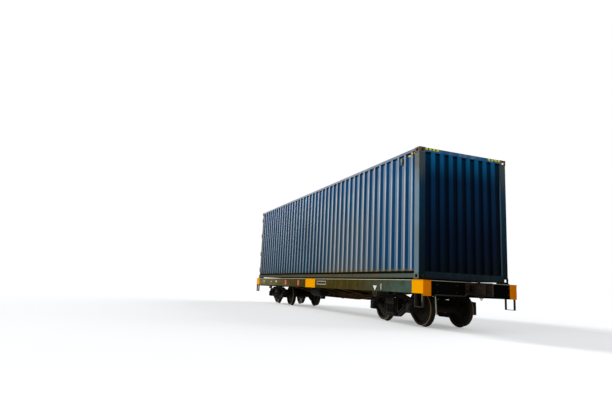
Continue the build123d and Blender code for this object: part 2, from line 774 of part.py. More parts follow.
for end, end_name in ((1, "front"), (-1, "rear")):
    middle = end * bogie_centre

    with BuildPart() as side_frames:
        for side in end_signs:
            flank = span(side, *frame_y)
            side_plate(moved(mirrored(frame_outline), middle), flank)
            for mirror_sign in end_signs:
                opening = [(mirror_sign * a, b) for a, b in frame_opening]
                side_plate(moved(opening, middle), flank, mode=Mode.SUBTRACT)
            block((middle - window_half, middle + window_half), flank, (window_low, window_high),
                  mode=Mode.SUBTRACT)
            with BuildSketch(Plane.XZ.offset(-flank[1])) as pocket:
                with BuildLine():
                    Polyline(*moved(mirrored(frame_outline), middle), close=True)
                make_face()
                with BuildLine():
                    Polyline(*moved(window_outline, middle), close=True)
                make_face(mode=Mode.SUBTRACT)
                for mirror_sign in end_signs:
                    opening = [(mirror_sign * a, b) for a, b in frame_opening]
                    with BuildLine():
                        Polyline(*moved(opening, middle), close=True)
                    make_face(mode=Mode.SUBTRACT)
                offset(amount=-frame_rim, mode=Mode.REPLACE)
            extrude(pocket.sketch, amount=pocket_depth, mode=Mode.SUBTRACT)
            with Locations((0, pocket_depth - frame_width, 0)):
                add(extrude(pocket.sketch, amount=pocket_depth, mode=Mode.PRIVATE), mode=Mode.SUBTRACT)
            block((middle - window_half, middle + window_half),
                  span(side, frame_y[0] - seat_proud, frame_y[1] + seat_proud),
                  (window_low - edge_strip, window_low))
    finish(side_frames, f"{end_name}_side_frames")

    with BuildPart() as springs:
        with BuildSketch(Plane.XZ):
            with BuildLine():
                step = spring_height / spring_turns
                root = spring_radius - coil_swell
                for turn in range(spring_turns):
                    low = window_low + turn * step
                    ThreePointArc((root, low), (spring_radius, low + step / 2), (root, low + step))
                Polyline((root, bolster_low), (0, bolster_low), (0, window_low), (root, window_low))
            make_face()
        revolve(axis=Axis.Z)
    spring_places = [
        (middle + column * spring_pitch, side * (frame_centre + row * spring_rows / 2), 0)
        for column in (-1, 0, 1)
        for row in end_signs
        for side in end_signs
    ]
    one_spring = springs.part
    with BuildPart() as spring_nests:
        with Locations(*spring_places):
            add(one_spring)
    finish(spring_nests, f"{end_name}_springs")

    bolster_half = (
        (0, bolster_top),
        (bolster_half_length, bolster_top),
        (bolster_half_length, bolster_low),
        (frame_y[0] - bolster_end, bolster_low),
        (bolster_belly_half, bolster_top - bolster_middle_depth),
        (0, bolster_top - bolster_middle_depth),
    )
    with BuildPart() as bolster:
        half_length = window_half - shake_gap
        end_plate(mirrored(bolster_half), (middle - half_length, middle + half_length))
        rod((middle, 0, bolster_top), (middle, 0, frame_top), bowl_radius)
        rod((middle, 0, centre_plate_low - seat_gap), (middle, 0, frame_top),
            centre_plate_radius + running_gap, mode=Mode.SUBTRACT)
        for side in end_signs:
            block((middle - lower_bearer[0], middle + lower_bearer[0]),
                  span(side, side_bearer_place - lower_bearer[1], side_bearer_place + lower_bearer[1]),
                  (bolster_top, frame_top))
    finish(bolster, f"{end_name}_bolster")

    with BuildPart() as axle_boxes:
        for along in end_signs:
            axle_x = middle + along * axle_offset
            for side in end_signs:
                box_y = span(side, journal_start + box_set_off, journal_start + box_length)
                block((axle_x - box_half_width + seat_gap, axle_x + box_half_width - seat_gap), box_y,
                      (box_top - box_height, box_top))
                block((axle_x - box_cover_half, axle_x + box_cover_half),
                      span(side, journal_start + box_length, journal_start + box_length + box_cover),
                      (box_top - box_height + box_cover_inset[0], box_top - box_cover_inset[1]))
                rod((axle_x, side * (journal_start - 1), axle_height),
                    (axle_x, side * (journal_start + journal_length + journal_room), axle_height),
                    journal_radius + running_gap, mode=Mode.SUBTRACT)
    finish(axle_boxes, f"{end_name}_axle_boxes")

    shoe_inner = wheel_radius + shoe_gap
    shoe_outer = shoe_inner + shoe_thickness + shoe_back
    beam_reach = axle_offset - shoe_inner - shoe_thickness
    with BuildPart() as brakes:
        for along in end_signs:
            axle_x = middle + along * axle_offset
            beam_x = span(along, beam_reach - brake_beam, beam_reach)
            beam_x = (beam_x[0] + middle, beam_x[1] + middle)
            block(beam_x, (-frame_y[0], frame_y[0]),
                  (axle_height - brake_beam / 2, axle_height + brake_beam / 2))
            for side in end_signs:
                shoe_y = side * (back_face + flange_thickness + shoe_side_gap + shoe_width / 2)
                with BuildSketch(Plane(origin=(axle_x, shoe_y + shoe_width / 2, axle_height),
                                       x_dir=(-along, 0, 0), z_dir=(0, -along, 0))) as shoe:
                    with BuildLine():
                        inner = CenterArc((0, 0), shoe_inner, -shoe_spread / 2, shoe_spread)
                        outer = CenterArc((0, 0), shoe_outer, -shoe_spread / 2, shoe_spread)
                        Line(inner @ 0, outer @ 0)
                        Line(inner @ 1, outer @ 1)
                    make_face()
                extrude(shoe.sketch, amount=along * shoe_width)
                block((beam_x[0], beam_x[1]), span(side, frame_y[0] - hanger_width, frame_y[0]),
                      (axle_height - brake_beam / 2, hanger_top))
    finish(brakes, f"{end_name}_brakes")

# Wheelsets: an axle and two wheels each
# Half outline of an axle: distance from the middle, radius
axle_outline = (
    (0, axle_radius),
    (back_face - 30, axle_radius),
    (back_face - 14, wheel_seat_radius),
    (back_face + rim_width + 14, wheel_seat_radius),
    (back_face + rim_width + 26, axle_radius + 2),
    (journal_start, axle_radius + 2),
    (journal_start, journal_radius),
    (journal_start + journal_length, journal_radius),
)
hub_start = back_face - 12.0
rim_inner = wheel_radius - rim_depth
rim_outer_face = back_face + rim_width


def tread(across):
    """Gives the tread's radius, which falls by one in twenty towards the outside."""
    return wheel_radius + (rail_centre - across) / 20


# Outline of a wheel: distance from the wagon's middle, radius
wheel_outline = (
    (hub_start, wheel_seat_radius),
    (hub_start + hub_width, wheel_seat_radius),
    (hub_start + hub_width, hub_radius - 6),
    (hub_start + hub_width - 32, hub_radius + 4),
    (back_face + 96, hub_radius + 22),
    (back_face + 72, rim_inner - 20),
    (rim_outer_face, rim_inner + 4),
    (rim_outer_face, tread(rim_outer_face)),
    (back_face + flange_thickness + 4, tread(back_face + flange_thickness + 4)),
    (back_face + flange_thickness - 6, wheel_radius + 9),
    (back_face + 22, wheel_radius + flange_height - 6),
    (back_face + 14, wheel_radius + flange_height),
    (back_face + 6, wheel_radius + flange_height - 3),
    (back_face, wheel_radius + flange_height - 12),
    (back_face, rim_inner + 4),
    (back_face + 46, rim_inner - 20),
    (back_face + 68, hub_radius + 22),
    (hub_start + 26, hub_radius + 4),
    (hub_start, hub_radius - 6),
)
axle_places = [bogie_centre + axle_offset, bogie_centre - axle_offset, axle_offset - bogie_centre,
               -bogie_centre - axle_offset]
for number, axle_x in enumerate(axle_places, start=1):
    axle_line = Axis((axle_x, 0, axle_height), (0, 1, 0))
    with BuildPart() as axle:
        with BuildSketch(Plane.YZ.offset(axle_x)):
            with BuildLine():
                right = [(a, axle_height + b) for a, b in axle_outline]
                left = [(-a, b) for a, b in reversed(right)]
                Polyline(*left[:-1], *right, (right[-1][0], axle_height), (left[0][0], axle_height),
                         close=True)
            make_face()
        revolve(axis=axle_line)
    finish(axle, f"axle_{number}")
    with BuildPart() as wheels:
        for side in end_signs:
            with BuildSketch(Plane.YZ.offset(axle_x)) as wheel_section:
                with BuildLine():
                    Polyline(*[(side * a, axle_height + b) for a, b in wheel_outline], close=True)
                make_face()
            revolve(wheel_section.sketch, axis=axle_line)
    finish(wheels, f"wheels_{number}")

# Container corner fittings: hollow castings with a hole in each outer face
side_hole = (79.0, 63.0)
side_hole_inset = 89.0
deck_hole = (124.0, 63.0)
fitting_round = 12.0
post_round = 14.0


def fittings(low, deck_low, deck_high):
    """Adds four corner fittings from the height low, whose holed deck spans deck_low to deck_high."""
    for end in end_signs:
        for side in end_signs:
            block(span(end, fitting_inner_x, half_box), span(side, fitting_inner_y, half_width),
                  (low, low + fitting_height))
            cavity_low = deck_high if deck_low == low else low + fitting_wall
            cavity_high = deck_low if deck_low > low else low + fitting_height - fitting_wall
            block(span(end, fitting_inner_x + fitting_wall, half_box - fitting_wall),
                  span(side, fitting_inner_y + fitting_wall, half_width - fitting_wall),
                  (cavity_low, cavity_high), mode=Mode.SUBTRACT)
            hole_middle = low + fitting_height / 2
            side_hole_x = end * (half_box - side_hole_inset)
            block((side_hole_x - side_hole[0] / 2, side_hole_x + side_hole[0] / 2),
                  span(side, half_width - fitting_wall - 1, half_width + 1),
                  (hole_middle - side_hole[1] / 2, hole_middle + side_hole[1] / 2), mode=Mode.SUBTRACT)
            block(span(end, half_box - fitting_wall - 1, half_box + 1),
                  (side * lock_y - side_hole[1] / 2, side * lock_y + side_hole[1] / 2),
                  (hole_middle - side_hole[0] / 2, hole_middle + side_hole[0] / 2), mode=Mode.SUBTRACT)
            with BuildSketch(Plane(origin=(end * lock_x, side * lock_y, deck_low - 1))) as slot:
                SlotOverall(*deck_hole)
            extrude(slot.sketch, amount=deck_high - deck_low + 2, mode=Mode.SUBTRACT)


def upright_edges(part, x, y):
    """Gives a part's upright edges whose distances from the middle planes are x and y."""
    return part.edges().filter_by(Axis.Z).filter_by(
        lambda edge: abs(abs(edge.center().X) - x) < 1 and abs(abs(edge.center().Y) - y) < 1)


with BuildPart() as bottom_fittings:
    fittings(container_bottom, container_bottom, container_bottom + fitting_deck)
    fillet(upright_edges(bottom_fittings, half_box, half_width), radius=fitting_round)
finish(bottom_fittings, "container_bottom_fittings")
with BuildPart() as top_fittings:
    fittings(post_high, container_top - fitting_deck, container_top)
    fillet(upright_edges(top_fittings, half_box, half_width), radius=fitting_round)
finish(top_fittings, "container_top_fittings")

# Container corner posts: angles at the closed end; at the door end a strip, a jamb and the hinges' lugs
strip_inner = door_pin_y - door_side_gap + swing_gap
strip_outer_x = door_pin_x - 60.0
jamb_x = door_pin_x - door_inset - door_thickness - swing_gap
jamb_reach = 92.0
hinge_heights = (350.0, 1050.0, 1850.0, 2550.0)
blade_height = 100.0
lug_height = 36.0
with BuildPart() as corner_posts:
    for side in end_signs:
        front_leg = [
            (fitting_inner_x, side * post_face_y),
            (post_face_x, side * post_face_y),
            (post_face_x, side * fitting_inner_y),
            (post_face_x - post_wall, side * fitting_inner_y),
            (post_face_x - post_wall, side * (post_face_y - post_wall)),
            (fitting_inner_x, side * (post_face_y - post_wall)),
        ]
        plan_plate(front_leg, (post_low, post_high))
        rear_leg = [
            (-strip_outer_x, side * post_face_y),
            (-strip_outer_x, side * strip_inner),
            (-jamb_x, side * strip_inner),
            (-jamb_x, side * (strip_inner - jamb_reach)),
            (-fitting_inner_x, side * (strip_inner - jamb_reach)),
            (-fitting_inner_x, side * post_face_y),
        ]
        plan_plate(rear_leg, (post_low, post_high))
        for height in hinge_heights:
            middle = container_bottom + height
            half_blade = blade_height / 2 + seat_gap
            pin_y = side * door_pin_y
            for low in (middle + half_blade, middle - half_blade - lug_height):
                high = low + lug_height
                block(span(-1, strip_outer_x, door_pin_x), (pin_y - door_barrel, pin_y + door_barrel),
                      (low, high))
                rod((-door_pin_x, pin_y, low), (-door_pin_x, pin_y, high), door_barrel)
            rod((-door_pin_x, pin_y, middle - half_blade), (-door_pin_x, pin_y, middle + half_blade),
                door_pin_radius)
    fillet(upright_edges(corner_posts, post_face_x, post_face_y), radius=post_round)
finish(corner_posts, "container_corner_posts")

# Container side rails
rail_set_back = 2.0
with BuildPart() as bottom_rails:
    for side in end_signs:
        rail_x = (-fitting_inner_x, fitting_inner_x)
        rail_outer = half_width - rail_set_back
        low = container_bottom + bottom_rail_low
        block(rail_x, span(side, rail_outer - rail_wall, rail_outer), (low, wall_low))
        for flange_low in (low, wall_low - rail_wall):
            block(rail_x, span(side, rail_outer - bottom_rail_width, rail_outer),
                  (flange_low, flange_low + rail_wall))
finish(bottom_rails, "container_bottom_rails")
with BuildPart() as top_rails:
    for side in end_signs:
        block((-fitting_inner_x, fitting_inner_x), span(side, half_width - top_rail, half_width),
              (wall_high, wall_high + top_rail))
finish(top_rails, "container_top_rails")

# Container end rails: a header and a sill at each end, with a plate to the roof and the cams' keepers
rod_places = (330.0, 860.0)
keeper_depth = 45.0
keeper_spread = 48.0
keeper_half = 7.0
keeper_rise = (22.0, 82.0)
door_header_low = door_high + swing_gap + 1
door_sill_high = door_low - swing_gap - 1
front_wall_x = post_face_x - end_rail_depth
with BuildPart() as end_rails:
    rail_y = (-fitting_inner_y, fitting_inner_y)
    block((front_wall_x, post_face_x), rail_y, (container_bottom + front_header_low, roof_top))
    block((fitting_inner_x, front_wall_x), rail_y,
          (roof_top - roof_wave_depth - sheet, roof_top - roof_wave_depth))
    block((front_wall_x, post_face_x), rail_y,
          (container_bottom + bottom_rail_low, container_bottom + front_sill_high))
    header_z = (container_bottom + door_header_low, roof_top)
    sill_z = (container_bottom + bottom_rail_low, container_bottom + door_sill_high)
    for rail_z in (header_z, sill_z):
        block((-door_rail_x, -fitting_inner_x), rail_y, rail_z)
        for side in end_signs:
            for place in rod_places:
                for flank in end_signs:
                    lug = side * place + flank * keeper_spread
                    block((-door_rail_x - keeper_depth, -door_rail_x),
                          (lug - keeper_half, lug + keeper_half),
                          (rail_z[0] + keeper_rise[0], rail_z[0] + keeper_rise[1]))
finish(end_rails, "container_end_rails")


def wave(start, pitch, count, outer_flat, slope, first_inner, last_inner):
    """Gives a corrugation's corners as distance along and level: level 1 on outer flats, 0 on inner."""
    corners = [(start - slope - first_inner, 0)]
    for index in range(count):
        flat = start + index * pitch
        corners += [(flat - slope, 0), (flat, 1), (flat + outer_flat, 1), (flat + outer_flat + slope, 0)]
    last = start + (count - 1) * pitch + outer_flat + slope
    return corners + [(last + last_inner, 0)]


# Container side walls: sheets with trapezoid waves, flush with the rails at the outer flats
side_slope = (side_pitch - side_outer_flat - side_inner_flat) / 2
side_start = -(side_flats - 1) * side_pitch / 2 - side_outer_flat / 2
side_tail = fitting_inner_x + side_start - side_slope
side_wave = wave(side_start, side_pitch, side_flats, side_outer_flat, side_slope, side_tail, side_tail)
side_face = half_width - side_recess
with BuildPart() as side_walls:
    for side in end_signs:
        outer_line = [(a, side * (side_face - side_wave_depth * (1 - level))) for a, level in side_wave]
        inner_line = [(a, y - side * sheet) for a, y in outer_line]
        plan_plate(outer_line + inner_line[::-1], (wall_low, wall_high))
finish(side_walls, "container_side_walls")

# Container front wall: the closed end, with deeper waves
front_start = -(front_flats - 1) * front_pitch / 2 - front_outer_flat / 2
front_tail = fitting_inner_y + front_start - front_slope
front_wave = wave(front_start, front_pitch, front_flats, front_outer_flat, front_slope, front_tail,
                  front_tail)
front_face = post_face_x - front_recess
with BuildPart() as front_wall:
    outer_line = [(front_face - front_wave_depth * (1 - level), a) for a, level in front_wave]
    inner_line = [(x - sheet, a) for x, a in outer_line]
    plan_plate(outer_line + inner_line[::-1],
               (container_bottom + front_sill_high, container_bottom + front_header_low))
finish(front_wall, "container_front_wall")

# Container roof: shallow waves across the container, between the top rails and the corner fittings
roof_start = -(roof_waves - 1) * roof_pitch / 2 - roof_flat / 2
roof_tail = fitting_inner_x + roof_start - roof_slope
roof_wave = wave(roof_start, roof_pitch, roof_waves, roof_flat, roof_slope, roof_tail, roof_tail)
with BuildPart() as roof:
    outer_line = [(a, roof_top - roof_wave_depth * (1 - level)) for a, level in roof_wave]
    under_line = [(a, z - sheet) for a, z in outer_line]
    side_plate(outer_line + under_line[::-1], (-half_width + top_rail, half_width - top_rail))
finish(roof, "container_roof")

# Container floor on its cross members
floor_gap = 2.0
floor_edge = half_width - rail_set_back - bottom_rail_width - floor_gap
with BuildPart() as floor:
    block((-fitting_inner_x, front_wall_x), (-floor_edge, floor_edge),
          (container_bottom + floor_top - floor_thickness, container_bottom + floor_top))
finish(floor, "container_floor")
member_low = container_bottom + bottom_rail_low + rail_wall
member_high = container_bottom + floor_top - floor_thickness
member_end = half_width - rail_set_back - rail_wall
with BuildPart() as cross_members:
    for index in range(member_count):
        member_x = (index - (member_count - 1) / 2) * member_pitch
        outline = [
            (member_x, member_low),
            (member_x + member_width, member_low),
            (member_x + member_width, member_low + member_wall),
            (member_x + member_wall, member_low + member_wall),
            (member_x + member_wall, member_high - member_wall),
            (member_x + member_width, member_high - member_wall),
            (member_x + member_width, member_high),
            (member_x, member_high),
        ]
        side_plate(outline, (-member_end, member_end))
finish(cross_members, "container_cross_members")

# Doors: a leaf with its hinge blades, and its lock rods with their handles
leaf_x = door_pin_x - door_inset
leaf_edge = door_pin_y - door_side_gap
leaf_z = (container_bottom + door_low, container_bottom + door_high)
leaf_border = 90.0
panel_sink = 9.0
panel_rows = 4
row_height = (leaf_z[1] - leaf_z[0] - leaf_border) / panel_rows
blade_half = 10.0
blade_side = 50.0
blade_step = 30.0
blade_reach = 170.0
rod_x = door_pin_x - lock_rod_inset
rod_end_inset = 30.0
cam_height = 40.0
cam_rises = (34.0, 30.0)
cam_half = 34.0
cam_front = 15.0
cam_gap = 6.0
rod_bracket_half = (42.0, 22.0)
rod_bracket_cover = 6.0
handle_heights = (1000.0, 1160.0)
handle_reach = 250.0
handle_half = 14.0
handle_cover = 4.0
for side, side_name in ((1, "left"), (-1, "right")):
    with BuildPart() as leaf:
        block(span(-1, leaf_x - door_thickness, leaf_x), span(side, door_middle_gap, leaf_edge), leaf_z)
        for row in range(panel_rows):
            row_low = leaf_z[0] + leaf_border + row * row_height
            panel_y = span(side, door_middle_gap + leaf_border, leaf_edge - leaf_border)
            block(span(-1, leaf_x - panel_sink, leaf_x), panel_y,
                  (row_low, row_low + row_height - leaf_border), mode=Mode.SUBTRACT)
        for height in hinge_heights:
            middle = container_bottom + height
            blade_z = (middle - blade_height / 2, middle + blade_height / 2)
            bend_y = span(side, door_pin_y - blade_side, door_pin_y - blade_step)
            block(span(-1, door_pin_x - blade_half, door_pin_x + blade_half),
                  span(side, door_pin_y - blade_side, door_pin_y), blade_z)
            block(span(-1, leaf_x, door_pin_x), bend_y, blade_z)
            block(span(-1, leaf_x, leaf_x + blade_half),
                  span(side, door_pin_y - blade_reach, door_pin_y - blade_step), blade_z)
            pin_y = side * door_pin_y
            rod((-door_pin_x, pin_y, blade_z[0]), (-door_pin_x, pin_y, blade_z[1]), door_barrel)
            rod((-door_pin_x, pin_y, blade_z[0] - 1), (-door_pin_x, pin_y, blade_z[1] + 1),
                door_pin_radius + running_gap, mode=Mode.SUBTRACT)
    finish(leaf, f"door_{side_name}_leaf")
    with BuildPart() as lock_gear:
        for place, handle_height in zip(rod_places, handle_heights):
            rod_y = side * place
            rod((-rod_x, rod_y, sill_z[0] + rod_end_inset),
                (-rod_x, rod_y, header_z[1] - rod_end_inset), lock_rod_radius)
            for cam_low in (sill_z[0] + cam_rises[0], header_z[0] + cam_rises[1]):
                block((-rod_x - cam_front, -door_rail_x - cam_gap),
                      (rod_y - cam_half, rod_y + cam_half), (cam_low, cam_low + cam_height))
            for row in range(panel_rows + 1):
                bracket = leaf_z[0] + leaf_border / 2 + row * row_height
                block((-rod_x - lock_rod_radius - rod_bracket_cover, -leaf_x),
                      (rod_y - rod_bracket_half[0], rod_y + rod_bracket_half[0]),
                      (bracket - rod_bracket_half[1], bracket + rod_bracket_half[1]))
            handle = container_bottom + handle_height
            towards = 1 if place == rod_places[0] else -1
            block((-rod_x - lock_rod_radius - handle_cover, -rod_x + handle_cover),
                  span(side, place, place + towards * handle_reach),
                  (handle - handle_half, handle + handle_half))
    finish(lock_gear, f"door_{side_name}_lock_gear")

# Ventilators: small covers in the side walls' hollows near the top
vent_x = 5377.0
vent_width = 66.0
vent_z = (container_bottom + 2615, container_bottom + 2775)
with BuildPart() as ventilators:
    for side in end_signs:
        vent_span = (-side * vent_x - vent_width / 2, -side * vent_x + vent_width / 2)
        block(vent_span, span(side, side_face - side_wave_depth, half_width - 1), vent_z)
finish(ventilators, "container_ventilators")
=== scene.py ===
from math import cos, radians, sin, tau

import bmesh
import bpy
from mathutils import Matrix, Vector


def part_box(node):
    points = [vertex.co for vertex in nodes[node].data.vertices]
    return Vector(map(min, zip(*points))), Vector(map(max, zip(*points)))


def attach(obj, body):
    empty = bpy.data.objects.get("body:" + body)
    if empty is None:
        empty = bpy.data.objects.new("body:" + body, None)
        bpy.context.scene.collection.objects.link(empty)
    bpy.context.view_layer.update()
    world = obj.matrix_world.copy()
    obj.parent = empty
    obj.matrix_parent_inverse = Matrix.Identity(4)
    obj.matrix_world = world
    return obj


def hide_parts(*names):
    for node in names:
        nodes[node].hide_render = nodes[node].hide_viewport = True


# A metre-gauge container flatcar with a dark-blue 40 ft high-cube container, in metres.
# X runs along the wagon towards the container's closed end, Y across it and Z up from the flanges' tips.
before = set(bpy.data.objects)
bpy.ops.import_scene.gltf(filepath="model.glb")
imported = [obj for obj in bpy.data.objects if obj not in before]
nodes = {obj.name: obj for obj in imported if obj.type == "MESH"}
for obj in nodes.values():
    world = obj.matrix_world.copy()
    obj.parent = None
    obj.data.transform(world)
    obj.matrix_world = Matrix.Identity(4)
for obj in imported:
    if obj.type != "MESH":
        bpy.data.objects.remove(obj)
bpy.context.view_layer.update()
scene = bpy.context.scene

# Directions: the sign tells the end along X or the side along Y
signs = (1, -1)
named_ends = ((1, "front"), (-1, "rear"))
named_sides = ((1, "left"), (-1, "right"))
up = (0, 0, 1)
down = (0, 0, -1)
rearward = (-1, 0, 0)

# Places read from the frame
sill_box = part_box("side_sills")
wall_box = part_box("container_side_walls")
front_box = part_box("container_front_wall")
rail_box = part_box("container_bottom_rails")
roof_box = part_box("container_roof")
vent_low, vent_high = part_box("container_ventilators")
sill_top = sill_box[1].z
sill_low = sill_box[0].z
sill_edge = sill_box[1].y
headstock_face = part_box("headstocks")[1].x - 0.008
box_bottom = rail_box[0].z - 0.018
bogie_centre = 4.45
axle_offset = 0.825
axle_height = 0.409
wheel_radius = 0.381


# Materials


def srgb(red, green, blue):
    """Gives the linear colour of 8-bit sRGB values."""
    parts = [value / 255 for value in (red, green, blue)]
    linear = [part / 12.92 if part <= 0.04045 else ((part + 0.055) / 1.055) ** 2.4 for part in parts]
    return (*linear, 1.0)


class Coat:
    """A node material built by short calls, with the part's own coordinates in metres."""

    def __init__(self, name, base, roughness=0.6, metallic=0.0):
        self.material = bpy.data.materials.new(name)
        self.material.use_nodes = True
        self.tree = self.material.node_tree
        self.shader = self.tree.nodes["Principled BSDF"]
        self.shader.inputs["Metallic"].default_value = metallic
        coordinates = self.add("ShaderNodeTexCoord")
        self.place = coordinates.outputs["Object"]
        self.x, self.y, self.z = self.add("ShaderNodeSeparateXYZ", Vector=self.place).outputs
        facing = self.add("ShaderNodeSeparateXYZ", Vector=coordinates.outputs["Normal"]).outputs
        self.facing_x, self.facing_y, self.facing_z = facing
        side = self.math("SIGN", self.y)
        self.outward = self.times(self.facing_y, side)
        # X on the near side, and turned end for end on the far one
        self.turned_x = self.times(self.x, self.times(side, -1.0))
        self.tint = base
        self.gloss = roughness

    def add(self, kind, **values):
        """Adds a node and sets or joins its named inputs."""
        node = self.tree.nodes.new(kind)
        for key, value in values.items():
            self.join(value, node.inputs[key])
        return node

    def join(self, value, socket):
        """Joins an output to a socket, or sets the socket's own value."""
        if isinstance(value, bpy.types.NodeSocket):
            self.tree.links.new(value, socket)
        else:
            socket.default_value = value

    def math(self, operation, first, second=0.0):
        """Adds one step of arithmetic."""
        node = self.tree.nodes.new("ShaderNodeMath")
        node.operation = operation
        self.join(first, node.inputs[0])
        self.join(second, node.inputs[1])
        return node.outputs[0]

    def times(self, product, *others):
        """Multiplies values. Of masks, it gives one that is on where all are."""
        for value in others:
            product = self.math("MULTIPLY", product, value)
        return product

    def plus(self, first, second):
        """Adds two values."""
        return self.math("ADD", first, second)

    def minus(self, first, second):
        """Takes the second value from the first."""
        return self.math("SUBTRACT", first, second)

    def either(self, first, second):
        """Gives a mask that is on where one of two is."""
        return self.math("MAXIMUM", first, second)

    def off(self, mask):
        """Gives a mask that is on where another is off."""
        return self.minus(1.0, mask)

    def size(self, value):
        """Gives a value without its sign."""
        return self.math("ABSOLUTE", value)

    def rise(self, value, low, high):
        """Gives 0 below low and 1 above high, with a soft way between."""
        node = self.add("ShaderNodeMapRange", Value=value)
        node.interpolation_type = "SMOOTHSTEP"
        node.inputs["From Min"].default_value = low
        node.inputs["From Max"].default_value = high
        return node.outputs[0]

    def fall(self, value, low, high):
        """Gives 1 below low and 0 above high."""
        return self.off(self.rise(value, low, high))

    def band(self, value, low, high, soft=0.004):
        """Gives 1 between low and high."""
        rise = self.rise(value, low - soft, low + soft)
        return self.times(rise, self.fall(value, high - soft, high + soft))

    def above(self, low, high):
        """Rises with the height over the container's underside."""
        return self.rise(self.z, box_bottom + low, box_bottom + high)

    def below(self, low, high):
        """Falls with the height over the container's underside."""
        return self.fall(self.z, box_bottom + low, box_bottom + high)

    def level(self, low, high, soft=0.004):
        """Gives 1 between two heights over the container's underside."""
        return self.band(self.z, box_bottom + low, box_bottom + high, soft)

    def noise(self, scale, stretch=(1, 1, 1), detail=5, roughness=0.6, shift=0):
        """Gives a noise from 0 to 1, finer along an axis with a larger stretch."""
        moved = (shift, shift * 0.7, shift * 0.4)
        mapping = self.add("ShaderNodeMapping", Vector=self.place, Scale=stretch, Location=moved)
        node = self.add("ShaderNodeTexNoise", Vector=mapping.outputs[0], Scale=scale, Detail=detail,
                        Roughness=roughness)
        return node.outputs["Fac"]

    def spots(self, scale, low, high, **options):
        """Gives a noise sharpened to patches between two levels."""
        return self.rise(self.noise(scale, **options), low, high)

    def ragged_height(self, scale, stretch, reach):
        """Gives the height, moved up and down by a noise, for a ragged edge."""
        return self.plus(self.z, self.times(self.noise(scale, stretch=(1, 1, stretch)), reach))

    def paint(self, colour, *masks):
        """Lays a colour where all the masks are. A number among them thins it."""
        node = self.add("ShaderNodeMix")
        node.data_type = "RGBA"
        self.join(self.times(*masks), node.inputs[0])
        self.join(self.tint, node.inputs[6])
        self.join(colour, node.inputs[7])
        self.tint = node.outputs[2]

    def dull(self, mask, roughness):
        """Changes the roughness by a mask."""
        node = self.add("ShaderNodeMix")
        self.join(mask, node.inputs[0])
        self.join(self.gloss, node.inputs[2])
        self.join(roughness, node.inputs[3])
        self.gloss = node.outputs[0]

    def done(self, height=None, depth=0.0, specular=0.12):
        """Joins colour, roughness and relief, of a depth in metres, and gives the material."""
        if height is not None:
            bump = self.add("ShaderNodeBump", Height=height, Strength=0.6, Distance=depth)
            self.join(bump.outputs[0], self.shader.inputs["Normal"])
        self.join(self.tint, self.shader.inputs["Base Color"])
        self.join(self.gloss, self.shader.inputs["Roughness"])
        self.shader.inputs["Specular IOR Level"].default_value = specular
        return self.material


# Paint colours
container_blue = srgb(16, 82, 130)
# Chalk on the side walls' crests and hollows, together with a painted highlight of sunlit flats
chalk_and_highlight_pale = srgb(172, 177, 178)
hollow_chalk_and_highlight = srgb(92, 126, 141)
# Painted shade for recesses and for the shadow under rails
recess_shade_blue = srgb(2, 13, 28)
door_blue = srgb(46, 86, 120)
rust_brown = srgb(88, 58, 36)
rust_dark = srgb(44, 30, 20)
foot_line = srgb(22, 17, 5)
low_dark_teal = srgb(24, 52, 57)
yellow = srgb(255, 170, 0)
# The patches' yellow, darkened to orange as painted shade, for the headstocks
yellow_in_painted_shade = srgb(252, 138, 0)
mark_yellow = srgb(248, 208, 20)
# The stripes' yellow, made lighter and greener for the closed end as painted light against its shade
end_yellow_painted_lighter = srgb(238, 246, 30)
mark_black = srgb(14, 15, 14)
mark_white = srgb(236, 236, 230)
mark_pink = srgb(206, 112, 96)
mark_grey = srgb(150, 146, 124)

# The side walls' waves: a crest's middle, the pitch, half a crest's width and the hollow's start
wave_crest = 5.8015
wave_pitch = 0.283
crest_half = 0.029
hollow_start = 0.109

# Darker teal low on the side walls: lowest and highest point of each layer over the container's underside,
# and amount
darkening_layers = ((0.9, 2.3, 0.24), (0.15, 1.0, 0.32), (0.1, 0.45, 0.12))

# Stripes on the side walls, from |X| to |X| and between two heights over the container's underside
side_stripes = ((5.605, 5.70, 2.758, 2.790), (5.79, 5.833, 2.774, 2.808), (5.861, 5.91, 2.774, 2.808))

# Stripes on the closed end: reach in |Y|, two such heights, width of a pair and the yellow's share
end_stripe_reach = (0.690, 1.0545)
end_stripe_heights = (2.842, 2.884)
end_stripe_width = 0.0975
end_stripe_share = 0.66

# Where the bright outer part of each tread starts, from the wagon's middle
tread_start = (0.570, 0.574)

# Yellow patches of the sills, from |X| to the end and in the middle, and the start in |Y| of the
# headstocks' patches, whose yellow is darkened to orange as painted shade
end_patch_start = 5.889
mid_patch = (-0.33, 0.50)
end_patch_inner = 1.05

# Blank marks on the sills: middle along, half width, lowest and highest point, colour, frame width or 0
sill_marks = (
    (-2.36, 0.10, 0.80, 0.98, mark_pink, 0.0),
    (-1.02, 0.085, 0.80, 0.98, mark_pink, 0.0),
    (1.00, 0.35, 0.861, 0.962, mark_white, 0.012),
    (-3.50, 0.07, 0.885, 0.95, mark_white, 0.0),
    (-4.15, 0.05, 0.885, 0.92, mark_white, 0.0),
    (4.60, 0.012, 0.79, 0.93, mark_white, 0.0),
    (-5.16, 0.17, 0.86, 0.96, mark_grey, 0.0),
)
# The jacking point's pale triangle, point down: middle along, half width, lowest and highest point
jacking_mark = (4.31, 0.095, 0.764, 0.882)

# The length of the floor's boards
board_length = 1.16


def rusted(coat, amount, scale=9, colour=rust_brown):
    """Lays rust in patches and specks, more with a larger amount."""
    level = 0.72 - 0.22 * amount
    patches = coat.spots(scale, level, level + 0.05, detail=8, roughness=0.68, shift=3)
    coat.paint(colour, patches)
    coat.dull(patches, 0.85)


